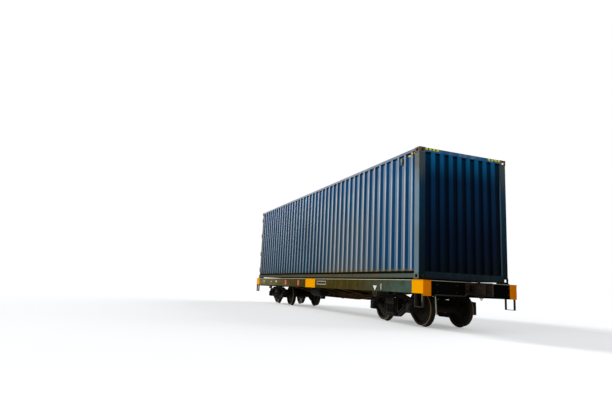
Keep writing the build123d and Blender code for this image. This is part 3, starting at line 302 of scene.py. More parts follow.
def wave_masks(coat, outside):
    """Marks the crests and the hollows of the side walls' waves."""
    waves = coat.times(coat.minus(coat.x, wave_crest), 1 / wave_pitch)
    share = coat.math("FRACT", coat.plus(waves, 0.5))
    from_crest = coat.times(coat.size(coat.minus(share, 0.5)), wave_pitch)
    crests = coat.times(outside, coat.fall(from_crest, crest_half - 0.001, crest_half + 0.004))
    hollows = coat.times(outside, coat.rise(from_crest, hollow_start - 0.001, hollow_start + 0.016))
    return crests, hollows


def wall_dirt_and_shade(coat, outside, crests):
    """Lays darker teal layers low on the walls, dust, a patch of painted shade over the middle, rust
    streaks and the splashed foot on the side walls.
    """
    dusty = coat.times(outside, coat.band(coat.turned_x, 1.3, 4.0, soft=0.8))
    # Darker teal towards the foot, away from the dusty middle
    darker_part = coat.times(outside, coat.off(dusty), coat.fall(coat.turned_x, 3.4, 6.4))
    for low, high, amount in darkening_layers:
        coat.paint(low_dark_teal, darker_part, coat.below(low, high), amount)
    between = coat.minus(0.28, coat.times(crests, 0.26))
    coat.paint(srgb(110, 106, 74), dusty, between, coat.below(1.2, 2.1))
    coat.paint(srgb(112, 100, 62), dusty, coat.below(0.15, 0.75), 0.28)
    # Painted shade: a darker patch over the middle of the walls
    shaded = coat.times(coat.band(coat.turned_x, -1.4, 0.0, soft=0.3), coat.level(0.8, 1.9, soft=0.2))
    coat.paint(srgb(22, 48, 76), outside, shaded, 0.26)
    streaks = coat.spots(16, 0.66, 0.74, stretch=(1.6, 1, 0.07), detail=4, shift=7)
    foot, top = wall_box[0].z, wall_box[1].z
    near_top = coat.rise(coat.z, top - 0.5, top)
    near_foot = coat.fall(coat.z, foot, foot + 0.22)
    coat.paint(rust_brown, streaks, coat.either(near_top, near_foot))
    ragged = coat.ragged_height(14, 0.4, -0.03)
    splashed = coat.fall(ragged, foot - 0.01, foot + 0.07)
    coat.paint(srgb(66, 62, 42), splashed, 0.5)
    coat.paint(srgb(138, 122, 62), splashed, coat.rise(coat.turned_x, 0.2, 1.2), 0.5)
    coat.paint(foot_line, coat.fall(ragged, foot - 0.012, foot))


def wall_marks(coat, outside, flats):
    """Lays the yellow and black stripes at the side walls' ends, and the small blank sign."""
    along = coat.size(coat.x)
    coat.paint(mark_black, outside, coat.band(along, 5.59, 5.93), coat.level(2.756, 2.808))
    for start, stop, low, high in side_stripes:
        coat.paint(mark_yellow, outside, coat.band(along, start, stop), coat.level(low, high))
    sign = coat.times(coat.level(2.62, 2.74), coat.band(coat.turned_x, -0.886, -0.812))
    coat.paint(srgb(60, 170, 190), sign, flats)


def container_wall_finish():
    """Side walls: blue paint, chalked pale with a painted highlight on the flats and clean in the slopes,
    with a painted shadow under the top rail, dirty at the foot.
    """
    coat = Coat("container_wall_paint", container_blue, 0.42)
    cloudy = coat.noise(1.3, stretch=(1, 1, 0.5), shift=1)
    coat.paint(srgb(12, 66, 112), coat.rise(cloudy, 0.35, 0.8))
    outside = coat.rise(coat.outward, 0.3, 0.5)
    greyed = coat.times(outside, coat.fall(coat.turned_x, 1.0, 4.5), coat.below(2.1, 2.7))
    coat.paint(srgb(38, 74, 92), greyed, 0.42)
    crests, hollows = wave_masks(coat, outside)
    flats = coat.either(crests, hollows)
    streaky = coat.noise(7, stretch=(1, 1, 0.12), detail=6, shift=2)
    # Chalk and painted highlight on the flats
    chalk_and_highlight = coat.plus(coat.times(streaky, 0.4), 0.62)
    thinner = coat.times(coat.above(2.2, 2.6), coat.rise(coat.turned_x, -1.0, 1.5), 0.5)
    chalk_and_highlight = coat.times(chalk_and_highlight, coat.off(thinner))
    coat.paint(hollow_chalk_and_highlight, hollows, chalk_and_highlight)
    coat.paint(chalk_and_highlight_pale, crests, chalk_and_highlight)
    warmed = coat.spots(2.4, 0.48, 0.62, stretch=(1, 1, 0.1), shift=13)
    coat.paint(srgb(194, 176, 160), crests, warmed, 0.35)
    # Painted shadow under the top rail, in the hollows and slopes
    shadow_under_rail = coat.rise(coat.z, wall_box[1].z - 0.045, wall_box[1].z - 0.02)
    coat.paint(recess_shade_blue, shadow_under_rail, coat.minus(outside, crests), 0.85)
    washed = coat.spots(5, 0.56, 0.72, stretch=(1, 1, 0.1), detail=7, shift=5)
    coat.paint(srgb(104, 122, 140), washed, flats, 0.4)
    wall_dirt_and_shade(coat, outside, crests)
    wall_marks(coat, outside, flats)
    coat.dull(flats, 0.5)
    return coat.done(coat.noise(60, detail=6), 0.0012, specular=0.04)


def front_wall_finish():
    """Closed end: blue raised bands and recesses, with painted shade falling down the wall, across it and
    at the foot, painted shade in the recesses and a painted shadow under the header.
    """
    coat = Coat("container_front_paint", srgb(8, 112, 166), 0.5)
    foot, top = front_box[0].z, front_box[1].z
    blotches = coat.spots(3, 0.4, 0.75, stretch=(1, 1, 0.2))
    coat.paint(srgb(2, 70, 112), blotches, 0.4)
    # Painted shade: darker below the top, darker again down the wall, and darker towards the far side
    coat.paint(srgb(2, 50, 86), coat.fall(coat.z, top - 0.65, top))
    coat.paint(srgb(2, 22, 46), coat.below(0.7, 2.2))
    coat.paint(srgb(1, 8, 18), coat.rise(coat.y, -0.85, -0.45), 0.2)
    # Painted shade in the recesses, and a painted shadow in them under the header
    recess = coat.fall(coat.x, front_box[1].x - 0.03, front_box[1].x - 0.002)
    coat.paint(recess_shade_blue, recess, 0.8)
    coat.paint(srgb(0, 3, 8), recess, coat.rise(coat.z, top - 0.06, top - 0.03))
    # Painted shade at the foot
    coat.paint(srgb(4, 14, 16), coat.fall(coat.z, foot, foot + 0.6), 0.7)
    streaks = coat.spots(14, 0.68, 0.75, stretch=(1, 1.6, 0.07), detail=4, shift=4)
    coat.paint(rust_dark, streaks, 0.4)
    return coat.done(coat.noise(60, detail=6), 0.0012, specular=0.03)


def header_marks(coat, closed_end):
    """Lays painted shade at the foot and the yellow and black stripes on the closed end's rails."""
    # Painted shade on the closed end's bottom rail
    coat.paint(srgb(8, 22, 12), coat.below(0.5, 0.6), closed_end, 0.92)
    from_middle = coat.size(coat.y)
    face = coat.times(coat.rise(coat.size(coat.facing_x), 0.9, 0.95), closed_end)
    striped = coat.times(face, coat.band(from_middle, *end_stripe_reach), coat.level(*end_stripe_heights))
    coat.paint(end_yellow_painted_lighter, striped)
    from_start = coat.minus(end_stripe_reach[1], from_middle)
    share = coat.math("FRACT", coat.times(from_start, 1 / end_stripe_width))
    black = coat.rise(share, end_stripe_share, end_stripe_share + 0.02)
    coat.paint(mark_black, striped, black)


def box_frame_finish(name, base, fading=1.0, marks=False):
    """Rails, doors and headers of the container, in worn paint."""
    coat = Coat(name, base, 0.5)
    faded = [0.62 * part + 0.38 * pale for part, pale in zip(base, chalk_and_highlight_pale)]
    patches = coat.spots(6, 0.42, 0.7, stretch=(0.4, 1, 0.4), shift=2)
    coat.paint(faded, patches, fading)
    if marks:
        coat.paint(door_blue, coat.fall(coat.x, -0.1, 0.0))
    streaks = coat.spots(18, 0.6, 0.7, stretch=(1, 1, 0.08), detail=5, shift=9)
    coat.paint(rust_brown, streaks, 0.4)
    rusted(coat, 0.4)
    if marks:
        header_marks(coat, coat.rise(coat.x, 0.0, 0.1))
    return coat.done(coat.noise(40, detail=7), 0.0015, specular=0.06)


def bottom_rail_finish():
    """Bottom side rails: grey-green worn paint, brown patches, a black upper edge and a rusty lower one."""
    coat = Coat("container_rail_paint", srgb(84, 82, 65), 0.62)
    coat.paint(srgb(82, 88, 76), coat.spots(1.1, 0.45, 0.6, shift=4))
    coat.paint(srgb(84, 98, 90), coat.rise(coat.x, 2.6, 6.0))
    coat.paint(srgb(104, 86, 58), coat.spots(2.6, 0.56, 0.64, stretch=(1, 1, 3), detail=8, shift=8))
    coat.paint(rust_brown, coat.spots(9, 0.6, 0.68, stretch=(1, 1, 2), detail=8, shift=1))
    ragged = coat.ragged_height(9, 0.3, 0.03)
    coat.paint(foot_line, coat.rise(ragged, rail_box[1].z - 0.042, rail_box[1].z - 0.026))
    coat.paint(rust_dark, coat.fall(ragged, rail_box[0].z + 0.004, rail_box[0].z + 0.014))
    return coat.done(coat.noise(40, detail=7), 0.0015, specular=0.0)


def post_finish():
    """Corner posts: grey worn paint with brown runs below the fittings, and painted shade, dark blue, on
    the faces that look along +X, lighter at the top and darker at the foot.
    """
    coat = Coat("container_post_paint", srgb(92, 118, 132), 0.55)
    worn = coat.spots(12, 0.45, 0.62, stretch=(1, 1, 0.08), shift=3)
    coat.paint(srgb(104, 108, 100), worn, 0.6)
    coat.paint(srgb(106, 138, 154), coat.level(1.146, 2.146, soft=0.15), 0.5)
    coat.paint(srgb(80, 78, 66), coat.above(2.336, 2.496), 0.6)
    coat.paint(srgb(108, 82, 62), coat.fall(coat.x, -0.5, 0.5), 0.6)
    # Painted shade on the faces that look along +X: dark blue, lighter near the top and darker towards the
    # foot
    end_face = coat.rise(coat.facing_x, 0.75, 0.95)
    coat.paint(srgb(10, 54, 78), end_face)
    coat.paint(srgb(66, 88, 96), end_face, coat.above(1.996, 2.646))
    coat.paint(srgb(4, 26, 42), end_face, coat.below(0.4, 2.2))
    coat.paint(srgb(12, 26, 24), end_face, coat.below(0.25, 0.55), 0.6)
    runs = coat.spots(22, 0.5, 0.62, stretch=(1, 1, 0.05), detail=5, shift=6)
    coat.paint(srgb(104, 78, 50), runs, coat.above(1.796, 2.746), 0.8)
    rusted(coat, 0.35, scale=16)
    return coat.done(coat.noise(50, detail=7), 0.0015, specular=0.04)


def casting_finish():
    """Corner fittings: worn paint over pitted cast steel, with painted shade on the bottom fittings' faces
    that look along +X.
    """
    coat = Coat("container_casting_paint", srgb(122, 106, 88), 0.7)
    coat.paint(srgb(98, 100, 90), coat.spots(14, 0.45, 0.6, shift=2))
    rusted(coat, 0.8, scale=20, colour=srgb(98, 74, 52))
    lower = coat.below(0.13, 0.15)
    coat.paint(srgb(96, 110, 102), lower, 0.7)
    # Painted shade on the bottom fittings' faces that look along +X
    coat.paint(srgb(12, 30, 18), lower, coat.rise(coat.facing_x, 0.8, 0.9))
    return coat.done(coat.noise(90, detail=8), 0.0025, specular=0.05)


def dusty_sill_coat(name):
    """Starts the paint of the side sills and headstocks: dark, under dust and rust."""
    coat = Coat(name, srgb(72, 62, 26), 0.66)
    coat.paint(srgb(124, 115, 80), coat.fall(coat.x, -5.8, -0.6))
    coat.paint(srgb(70, 94, 86), coat.rise(coat.x, 3.0, 6.0))
    worn = coat.spots(2.2, 0.42, 0.7, stretch=(1, 1, 1.6), detail=8, shift=3)
    coat.paint(srgb(62, 55, 26), worn, 0.6)
    dusty = coat.spots(11, 0.5, 0.66, stretch=(0.6, 1, 0.3), detail=6, shift=5)
    coat.paint(srgb(106, 98, 60), dusty, 0.3)
    rusted(coat, 0.3, scale=13)
    return coat


def top_line(coat, outer_face, colour):
    """Lays a pale line along the top edge of the sills or headstocks."""
    height = coat.rise(coat.z, sill_top - 0.013, sill_top - 0.011)
    coat.paint(colour, height, outer_face)


def warning_patch(coat, patch, colour):
    """Lays a bright, scuffed patch."""
    coat.paint(colour, patch)
    scuffed = coat.spots(20, 0.62, 0.7, detail=8, shift=11)
    coat.paint(srgb(170, 104, 8), patch, scuffed, 0.5)
    coat.dull(patch, 0.5)


def painted_mark(coat, outside, middle, half, low, high, colour, frame_width):
    """Lays one mark on both sills; the far side's marks stand at the opposite end."""
    across = coat.minus(coat.turned_x, middle)
    mask = coat.times(coat.band(across, -half, half), coat.band(coat.z, low, high))
    if frame_width:
        inner = coat.times(coat.band(across, frame_width - half, half - frame_width),
                           coat.band(coat.z, low + frame_width, high - frame_width))
        mask = coat.times(mask, coat.off(inner))
    flaked = coat.fall(coat.noise(60, detail=6, shift=2), 0.6, 0.68)
    coat.paint(colour, mask, outside, flaked)


def jacking_triangle(coat):
    """Marks the triangle over the jacking point."""
    middle, half, low, high = jacking_mark
    across = coat.size(coat.minus(coat.turned_x, middle))
    reach = coat.times(coat.minus(coat.z, low), half / (high - low))
    pointed = coat.fall(coat.minus(across, reach), -0.003, 0.003)
    return coat.times(pointed, coat.fall(coat.z, high - 0.003, high + 0.003))


def side_sill_finish():
    """Side sills: dark paint with a pale top line, yellow patches and blank marks."""
    coat = dusty_sill_coat("wagon_sill_paint")
    from_middle = coat.size(coat.y)
    outside = coat.rise(from_middle, sill_edge - 0.012, sill_edge - 0.009)
    top_line(coat, coat.rise(from_middle, sill_edge - 0.005, sill_edge - 0.003), srgb(216, 206, 172))
    at_end = coat.rise(coat.size(coat.x), end_patch_start - 0.002, end_patch_start + 0.002)
    at_middle = coat.band(coat.turned_x, *mid_patch, soft=0.002)
    warning_patch(coat, coat.times(coat.either(at_end, at_middle), outside), yellow)
    for mark in sill_marks:
        painted_mark(coat, outside, *mark)
    coat.paint(mark_white, jacking_triangle(coat), outside)
    return coat.done(coat.noise(45, detail=7), 0.0018, specular=0.0)


def headstock_finish():
    """Headstocks: black end faces, the yellow patches in painted shade, orange, towards their outer ends,
    and a pale top line.
    """
    coat = dusty_sill_coat("wagon_headstock_paint")
    end_face = coat.rise(coat.size(coat.facing_x), 0.8, 0.9)
    coat.paint(srgb(11, 13, 10), end_face)
    outer = coat.rise(coat.size(coat.y), end_patch_inner - 0.002, end_patch_inner + 0.002)
    side_face = coat.rise(coat.size(coat.facing_y), 0.8, 0.9)
    edge = coat.rise(coat.size(coat.x), headstock_face + 0.004, headstock_face + 0.006)
    top_line(coat, edge, srgb(176, 170, 146))
    warning_patch(coat, coat.either(coat.times(outer, end_face), side_face), yellow_in_painted_shade)
    return coat.done(coat.noise(45, detail=7), 0.0018, specular=0.0)


def dark_steel_finish(name, base, rust, dusting, rough=0.75):
    """Cast and rolled steel under grease, rust and track dust."""
    coat = Coat(name, base, rough)
    coat.paint(srgb(16, 14, 12), coat.spots(5, 0.4, 0.72, detail=8, shift=1))
    rusted(coat, rust, scale=12, colour=srgb(58, 38, 22))
    coat.paint(srgb(84, 74, 52), coat.rise(coat.facing_z, 0.3, 0.9), dusting)
    return coat.done(coat.noise(70, detail=8), 0.002, specular=0.08)


def wheel_finish():
    """Wheels: rusty plate and rim, with a worn bright tread."""
    coat = Coat("wheel_steel_rusty", srgb(20, 17, 10), 0.7)
    coat.paint(srgb(30, 22, 12), coat.spots(8, 0.4, 0.7, detail=8, shift=2))
    rusted(coat, 0.5, scale=18, colour=srgb(40, 26, 15))
    from_bogie = coat.size(coat.minus(coat.size(coat.x), bogie_centre))
    beside = coat.minus(from_bogie, axle_offset)
    over = coat.minus(coat.z, axle_height)
    radius = coat.math("SQRT", coat.plus(coat.times(beside, beside), coat.times(over, over)))
    rim = coat.rise(radius, wheel_radius - 0.012, wheel_radius - 0.010)
    tread = coat.times(coat.rise(coat.size(coat.y), *tread_start), rim)
    coat.paint(srgb(140, 118, 76), tread, 0.9)
    coat.dull(tread, 0.35)
    return coat.done(coat.noise(80, detail=7), 0.001, specular=0.1)


def roof_finish():
    """Roof: faded blue with dust in the low waves and rust along the edges."""
    coat = Coat("container_roof_paint", srgb(70, 108, 138))
    coat.paint(srgb(112, 134, 150), coat.spots(2, 0.4, 0.7, detail=7))
    low_waves = coat.fall(coat.z, roof_box[1].z - 0.018, roof_box[1].z - 0.008)
    coat.paint(srgb(120, 112, 92), low_waves, 0.5)
    coat.paint(rust_brown, coat.rise(coat.size(coat.y), 1.05, 1.16), 0.4)
    rusted(coat, 0.4, scale=7)
    return coat.done(coat.noise(40, detail=7), 0.0015)


def floor_finish():
    """Container floor: plywood boards with seams, grain and scuffs."""
    coat = Coat("floor_plywood", srgb(134, 96, 58))
    grain = coat.noise(9, stretch=(0.25, 9, 1), detail=6)
    coat.paint(srgb(104, 72, 42), coat.rise(grain, 0.35, 0.7))
    coat.paint(srgb(74, 56, 38), coat.spots(1.8, 0.5, 0.7, detail=8, shift=4))
    share = coat.math("FRACT", coat.times(coat.plus(coat.x, 10.0), 1 / board_length))
    coat.paint(srgb(28, 22, 16), coat.fall(share, 0.004, 0.008))
    return coat.done(grain, 0.0008, specular=0.35)


def plastic_finish():
    """Ventilators: moulded plastic, weathered to grey-green, darker towards the bottom, with painted shade
    on the sides that look along X.
    """
    coat = Coat("vent_white_plastic", srgb(122, 146, 132), 0.45)
    coat.paint(srgb(96, 108, 98), coat.spots(40, 0.5, 0.7, stretch=(1, 1, 0.2)))
    coat.paint(srgb(34, 52, 72), coat.fall(coat.z, vent_low.z + 0.04, vent_low.z + 0.10), 0.7)
    # Painted shade on the sides that look along X
    coat.paint(srgb(10, 14, 20), coat.rise(coat.size(coat.facing_x), 0.5, 0.8))
    return coat.done(coat.noise(300), 0.0004, specular=0.02)


def zinc_finish():
    """Lock rods, cams and handles: blue paint worn through to zinc."""
    coat = Coat("lock_gear_worn_paint", srgb(66, 90, 108), 0.5, metallic=0.2)
    worn = coat.spots(34, 0.42, 0.72, detail=9, roughness=0.7, shift=2)
    coat.paint(srgb(112, 118, 118), worn, 0.8)
    rusted(coat, 0.5, scale=26)
    return coat.done(coat.noise(90, detail=6), 0.0008, specular=0.3)


def plate_finish():
    """The doors' bare plate: dull alloy with faint stains."""
    coat = Coat("plate_dull_alloy", srgb(128, 132, 130), 0.45, metallic=0.4)
    coat.paint(srgb(104, 106, 100), coat.spots(9, 0.4, 0.8, detail=6, shift=3))
    return coat.done(coat.noise(60), 0.0003, specular=0.3)


def rubber_finish():
    """Door gaskets and ventilator slots: black with pale dust."""
    coat = Coat("gasket_rubber", srgb(24, 24, 25), 0.8)
    coat.paint(srgb(62, 60, 56), coat.spots(18, 0.5, 0.75, stretch=(1, 1, 0.3)))
    return coat.done(coat.noise(160), 0.0005, specular=0.25)


def pale_bar_finish(name, pale):
    """Dark bars with pale paint left on some, where the function pale gives a mask."""
    coat = Coat(name, srgb(34, 32, 25))
    coat.paint(srgb(158, 156, 138), pale(coat))
    rusted(coat, 0.6, scale=30)
    return coat.done(coat.noise(120), 0.0006)


def hanging_handle(coat):
    """Marks the handles that hang at the outer ends of the uncoupling levers."""
    return coat.times(coat.fall(coat.z, 0.68, 0.72), coat.rise(coat.size(coat.y), 0.9, 0.92))


def outer_edge(coat):
    """Marks the outer faces of the steps' outer uprights."""
    outer_face = coat.rise(coat.size(coat.facing_y), 0.8, 0.9)
    outside = coat.rise(coat.size(coat.y), sill_edge - 0.05, sill_edge - 0.04)
    at_end = coat.rise(coat.turned_x, 6.15, 6.20)
    return coat.times(outer_face, outside, at_end, coat.rise(coat.z, 0.56, 0.62))


# Materials that several nodes or pieces wear
casting_paint = casting_finish()
frame_paint = dark_steel_finish("wagon_underframe_paint", srgb(70, 46, 4), 0.7, 0.3)
bogie_steel = dark_steel_finish("bogie_cast_steel", srgb(24, 22, 17), 0.5, 0.45)
coupler_steel = dark_steel_finish("coupler_cast_steel", srgb(30, 24, 18), 0.8, 0.4, rough=0.6)
gear_paint = dark_steel_finish("brake_gear_paint", srgb(20, 19, 17), 0.4, 0.5)
lock_steel = dark_steel_finish("lock_greasy_steel", srgb(46, 42, 36), 0.6, 0.3, rough=0.5)
zinc_gear = zinc_finish()
rubber = rubber_finish()

# Which material each CAD node wears
finishes = {
    "container_side_walls": container_wall_finish(),
    "container_front_wall": front_wall_finish(),
    "container_end_rails": box_frame_finish("container_header_paint", srgb(38, 100, 152), marks=True),
    "container_top_rails": box_frame_finish("container_top_rail_paint", srgb(48, 80, 110), fading=0.6),
    "container_bottom_rails": bottom_rail_finish(),
    "container_corner_posts": post_finish(),
    "container_roof": roof_finish(),
    "container_floor": floor_finish(),
    "container_cross_members": dark_steel_finish("container_underseal", srgb(24, 26, 26), 0.4, 0.2),
    "container_ventilators": plastic_finish(),
    "container_top_fittings": casting_paint,
    "container_bottom_fittings": casting_paint,
    "container_locks": lock_steel,
    "lock_pads": lock_steel,
    "side_sills": side_sill_finish(),
    "headstocks": headstock_finish(),
    "jacking_brackets": dark_steel_finish("wagon_bracket_paint", srgb(50, 40, 22), 0.5, 0.3),
    "uncoupling_levers": pale_bar_finish("lever_worn_paint", hanging_handle),
    "corner_steps": pale_bar_finish("step_worn_paint", outer_edge),
}

# The other nodes' materials, by the first start of a name that fits; the last one fits every name
families = (
    (("door_left_lock", "door_right_lock"), zinc_gear),
    (("door",), box_frame_finish("container_door_paint", door_blue, fading=0.32)),
    (("wheels",), wheel_finish()),
    (("axle_",), dark_steel_finish("axle_forged_steel", srgb(36, 28, 20), 0.7, 0.2)),
    (("front_", "rear_"), bogie_steel),
    (("coupler", "knuckle", "draft", "strikers"), coupler_steel),
    (("air", "angle", "brake", "hand"), gear_paint),
    (("",), frame_paint),
)

for node_name, node in nodes.items():
    family = next(paint for starts, paint in families if node_name.startswith(starts))
    material = finishes.get(node_name, family)
    if not node.data.materials:
        node.data.materials.append(material)
    for material_slot in node.material_slots:
        material_slot.material = material

# Small pieces


def angles(count, first=0.0):
    """Gives angles spread round a circle, the first one as a share of a step."""
    return [tau * (step + first) / count for step in range(count)]


def about(middle, half):
    """Gives a span round a middle."""
    return (middle - half, middle + half)


def pair(sign, near, far):
    """Gives a span between two distances from the middle, on the side of sign."""
    return (sign * near, sign * far)


def spread(low, high, count):
    """Gives evenly spaced places from low to high."""
    return [low + step * (high - low) / (count - 1) for step in range(count)]


def upright_ring(centre, wide, tall):
    """Gives the points of a ring that stands along X."""
    x, y, z = centre
    return [(x + wide * cos(a), y, z + tall * sin(a)) for a in angles(20)]


class Shape:
    """Collects bevelled boxes, bolts, turned parts and bars into one mesh piece."""

    def __init__(self):
        self.mesh = bmesh.new()

    def box(self, x, y, z, bevel=0.003):
        """Adds a box with rounded edges that fills three spans."""
        spans = [sorted(span) for span in (x, y, z)]
        middle = [(low + high) / 2 for low, high in spans]
        size = [high - low for low, high in spans]
        made = bmesh.ops.create_cube(self.mesh, size=1.0)
        bmesh.ops.scale(self.mesh, vec=size, verts=made["verts"])
        bmesh.ops.translate(self.mesh, vec=middle, verts=made["verts"])
        edges = list({edge for vert in made["verts"] for edge in vert.link_edges})
        width = min(bevel, 0.3 * min(size))
        bmesh.ops.bevel(self.mesh, geom=edges, offset=width, segments=2, affect="EDGES")

    def turned(self, start, end, radii, sides=24):
        """Adds a turned part from start to end: pairs of a share of the length and a radius."""
        start, end = Vector(start), Vector(end)
        turn = (end - start).normalized().to_track_quat("Z", "Y")
        rings = []
        for share, radius in radii:
            centre = start.lerp(end, share)
            corners = [(radius * cos(a), radius * sin(a), 0) for a in angles(sides, 0.5)]
            rings.append([self.mesh.verts.new(centre + turn @ Vector(corner)) for corner in corners])
        self.skin(rings, closed=False)

    def skin(self, rings, closed):
        """Joins rings of corners by faces, and closes the two ends of an open run."""
        sides = len(rings[0])
        pairs = list(zip(rings, rings[1:]))
        if closed:
            pairs.append((rings[-1], rings[0]))
        for first, second in pairs:
            for index in range(sides):
                after = (index + 1) % sides
                self.mesh.faces.new((first[index], first[after], second[after], second[index]))
        if not closed:
            self.mesh.faces.new(rings[0][::-1])
            self.mesh.faces.new(rings[-1])

    def bar(self, points, radius, sides=10, closed=False):
        """Adds a round bar along points."""
        points = [Vector(point) for point in points]
        count = len(points)
        rings = []
        side = None
        for index, point in enumerate(points):
            before = points[index - 1] if closed or index else points[index]
            after = points[(index + 1) % count] if closed or index < count - 1 else points[index]
            along = (after - before).normalized()
            if side is None:
                side = along.orthogonal().normalized()
            side = (side - side.dot(along) * along).normalized()
            other = along.cross(side)
            rings.append([self.mesh.verts.new(point + radius * (cos(a) * side + sin(a) * other))
                          for a in angles(sides)])
        self.skin(rings, closed)

    def bolt(self, place, facing, size):
        """Adds a hexagonal head on a washer, that stands on a face."""
        place, facing = Vector(place), Vector(facing).normalized()
        half = size / 2
        seat = place + 0.14 * size * facing
        washer = ((0, half * 1.35), (0.6, half * 1.35), (1, half * 1.2))
        head = ((0, half * 1.1), (0.8, half * 1.1), (1, half * 0.9))
        self.turned(place - 0.001 * facing, seat, washer, sides=16)
        self.turned(seat, place + 0.72 * size * facing, head, sides=6)

    def piece(self, name, body, material):
        """Makes the object, gives it its material and lets it ride on a body."""
        bmesh.ops.recalc_face_normals(self.mesh, faces=self.mesh.faces)
        data = bpy.data.meshes.new(name)
        self.mesh.to_mesh(data)
        self.mesh.free()
        data.materials.append(material)
        for face in data.polygons:
            face.use_smooth = True
        data.set_sharp_from_angle(angle=radians(40))
        made = bpy.data.objects.new(name, data)
        scene.collection.objects.link(made)
        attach(made, body)
        return made


# Coil springs of the bogies: an outer and an inner coil on each seat, by radius, wire's radius and turns
spring_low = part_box("front_springs")[0].z
spring_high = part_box("front_springs")[1].z
spring_columns = (-0.12, 0.0, 0.12)
spring_rows = (0.745, 0.855)
spring_coils = ((0.041, 0.0105, 5.5), (0.022, 0.006, 8.5))
coil_steps = 18
flat_share = 0.09


def coil(shape, centre, radius, wire, turns):
    """Adds a coil spring whose end turns lie flat."""
    low = spring_low + wire
    high = spring_high - wire
    points = []
    for step in range(int(turns * coil_steps) + 1):
        share = step / (turns * coil_steps)
        lift = min(max((share - flat_share) / (1 - 2 * flat_share), 0.0), 1.0)
        angle = tau * turns * share
        points.append((centre[0] + radius * cos(angle), centre[1] + radius * sin(angle),
                       low + lift * (high - low)))
    shape.bar(points, wire, sides=8)


for end, end_name in named_ends:
    coils = Shape()
    for column in spring_columns:
        for side in signs:
            for row in spring_rows:
                for radius, wire, turns in spring_coils:
                    coil(coils, (end * bogie_centre + column, side * row), radius, wire, turns)
    made = coils.piece(f"{end_name}_coil_springs", f"bogie_{end_name}", bogie_steel)
    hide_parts(f"{end_name}_springs")

# Bogie fittings: bearing caps and their bolts, column rivets, spring seat lips, shoe keys and hangers
cover_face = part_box("front_axle_boxes")[1].y
cap_face = cover_face + 0.012
cap_radii = ((0, 0.060), (0.6, 0.060), (1, 0.050))
cap_bolt_circle = 0.036
cover_bolts = [(x, z) for x in (-0.062, 0.062) for z in (0.343, 0.472)]
frame_face = 0.865
rivet_offset = 0.248
rivet_heights = (0.50, 0.54, 0.58)
shoe_side = 0.547
shoe_key_gap = 0.052
hanger_gap = 0.10
hanger_side = 0.519
hanger_heights = (axle_height + 0.02, 0.60)
seat_half = 0.205
seat_lips = ((0.690, 0.702), (0.898, 0.910))
seat_lip_heights = (0.236, 0.262)
seat_cup_side = 0.8
seat_cup_heights = (0.226, 0.239)
for end, end_name in named_ends:
    fittings = Shape()
    middle = end * bogie_centre
    for side in signs:
        facing = (0, side, 0)
        for along in signs:
            axle_x = middle + along * axle_offset
            fittings.turned((axle_x, side * (cover_face - 0.001), axle_height),
                            (axle_x, side * cap_face, axle_height), cap_radii, sides=32)
            for angle in angles(3, 0.75):
                fittings.bolt((axle_x + cap_bolt_circle * cos(angle), side * cap_face,
                               axle_height + cap_bolt_circle * sin(angle)), facing, 0.018)
            for bolt_x, bolt_z in cover_bolts:
                fittings.bolt((axle_x + bolt_x, side * cover_face, bolt_z), facing, 0.020)
            for height in rivet_heights:
                fittings.bolt((middle + along * rivet_offset, side * frame_face, height), facing, 0.022)
            key_x = axle_x - along * (wheel_radius + shoe_key_gap)
            fittings.box(about(key_x, 0.012), pair(side, *about(shoe_side, 0.02)), about(axle_height, 0.15))
            hanger_x = axle_x - along * (wheel_radius + hanger_gap)
            fittings.bar([(hanger_x, side * hanger_side, height) for height in hanger_heights], 0.011)
        for lip in seat_lips:
            fittings.box(about(middle, seat_half), pair(side, *lip), seat_lip_heights)
        for column in spring_columns:
            low, high = ((middle + column, side * seat_cup_side, height) for height in seat_cup_heights)
            fittings.turned(low, high, ((0, 0.045), (1, 0.05)), sides=20)
    fittings.piece(f"{end_name}_bogie_fittings", f"bogie_{end_name}", bogie_steel)

# Underframe fittings: striker and headstock bolts, and a bolted plate under each draft gear
striker_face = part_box("strikers")[1].x
striker_bolts = [(y, z) for y in (-0.168, 0.168) for z in (0.785, 0.885, 0.985)]
headstock_bolts = [(y + 0.055, z) for y in (-0.95, -0.45, 0.45, 0.95) for z in (0.80, 0.95)]
gear_plate_low = sill_low - 0.012
gear_plate_reach = (5.28, 6.12)
gear_plate_bolts = [(x, y) for x in (5.35, 5.60, 5.85, 6.05) for y in (-0.225, 0.225)]
underframe = Shape()
for end in signs:
    for bolt_y, bolt_z in striker_bolts:
        underframe.bolt((end * striker_face, bolt_y, bolt_z), (end, 0, 0), 0.028)
    for bolt_y, bolt_z in headstock_bolts:
        underframe.bolt((end * headstock_face, bolt_y, bolt_z), (end, 0, 0), 0.022)
    for bolt_x, bolt_y in gear_plate_bolts:
        underframe.bolt((end * bolt_x, bolt_y, gear_plate_low), down, 0.026)
    underframe.box(pair(end, *gear_plate_reach), about(0.0, 0.245), (gear_plate_low, sill_low + 0.001))
underframe.piece("underframe_bolts", "wagon", frame_paint)

# Brake gear under the frame: hoops that hold the brake pipe, small pipes and a lever
pipe_side = 0.33
pipe_height = 0.93
hoop_top = sill_top - 0.012
hoop_places = (0.55, 1.45, 2.55, 3.6, 5.2)
near_y, far_y = pipe_side - 0.026, pipe_side + 0.026
hoop = ((near_y, hoop_top), (near_y, pipe_height), (pipe_side, pipe_height - 0.026), (far_y, pipe_height),
        (far_y, hoop_top))
valve_to_reservoir = ((0.31, -0.30, 0.84), (0.16, -0.30, 0.84), (0.12, -0.34, 0.84), (0.12, -0.56, 0.84),
                      (0.09, -0.62, 0.80), (0.00, -0.64, 0.72), (-0.09, -0.64, 0.70))
valve_to_cylinder = ((0.49, -0.30, 0.84), (0.60, -0.30, 0.80), (0.64, -0.26, 0.74), (0.64, 0.30, 0.74),
                     (0.60, 0.46, 0.72), (0.56, 0.50, 0.70))
lever_x = 0.85
lever_top = 0.712
clips = Shape()
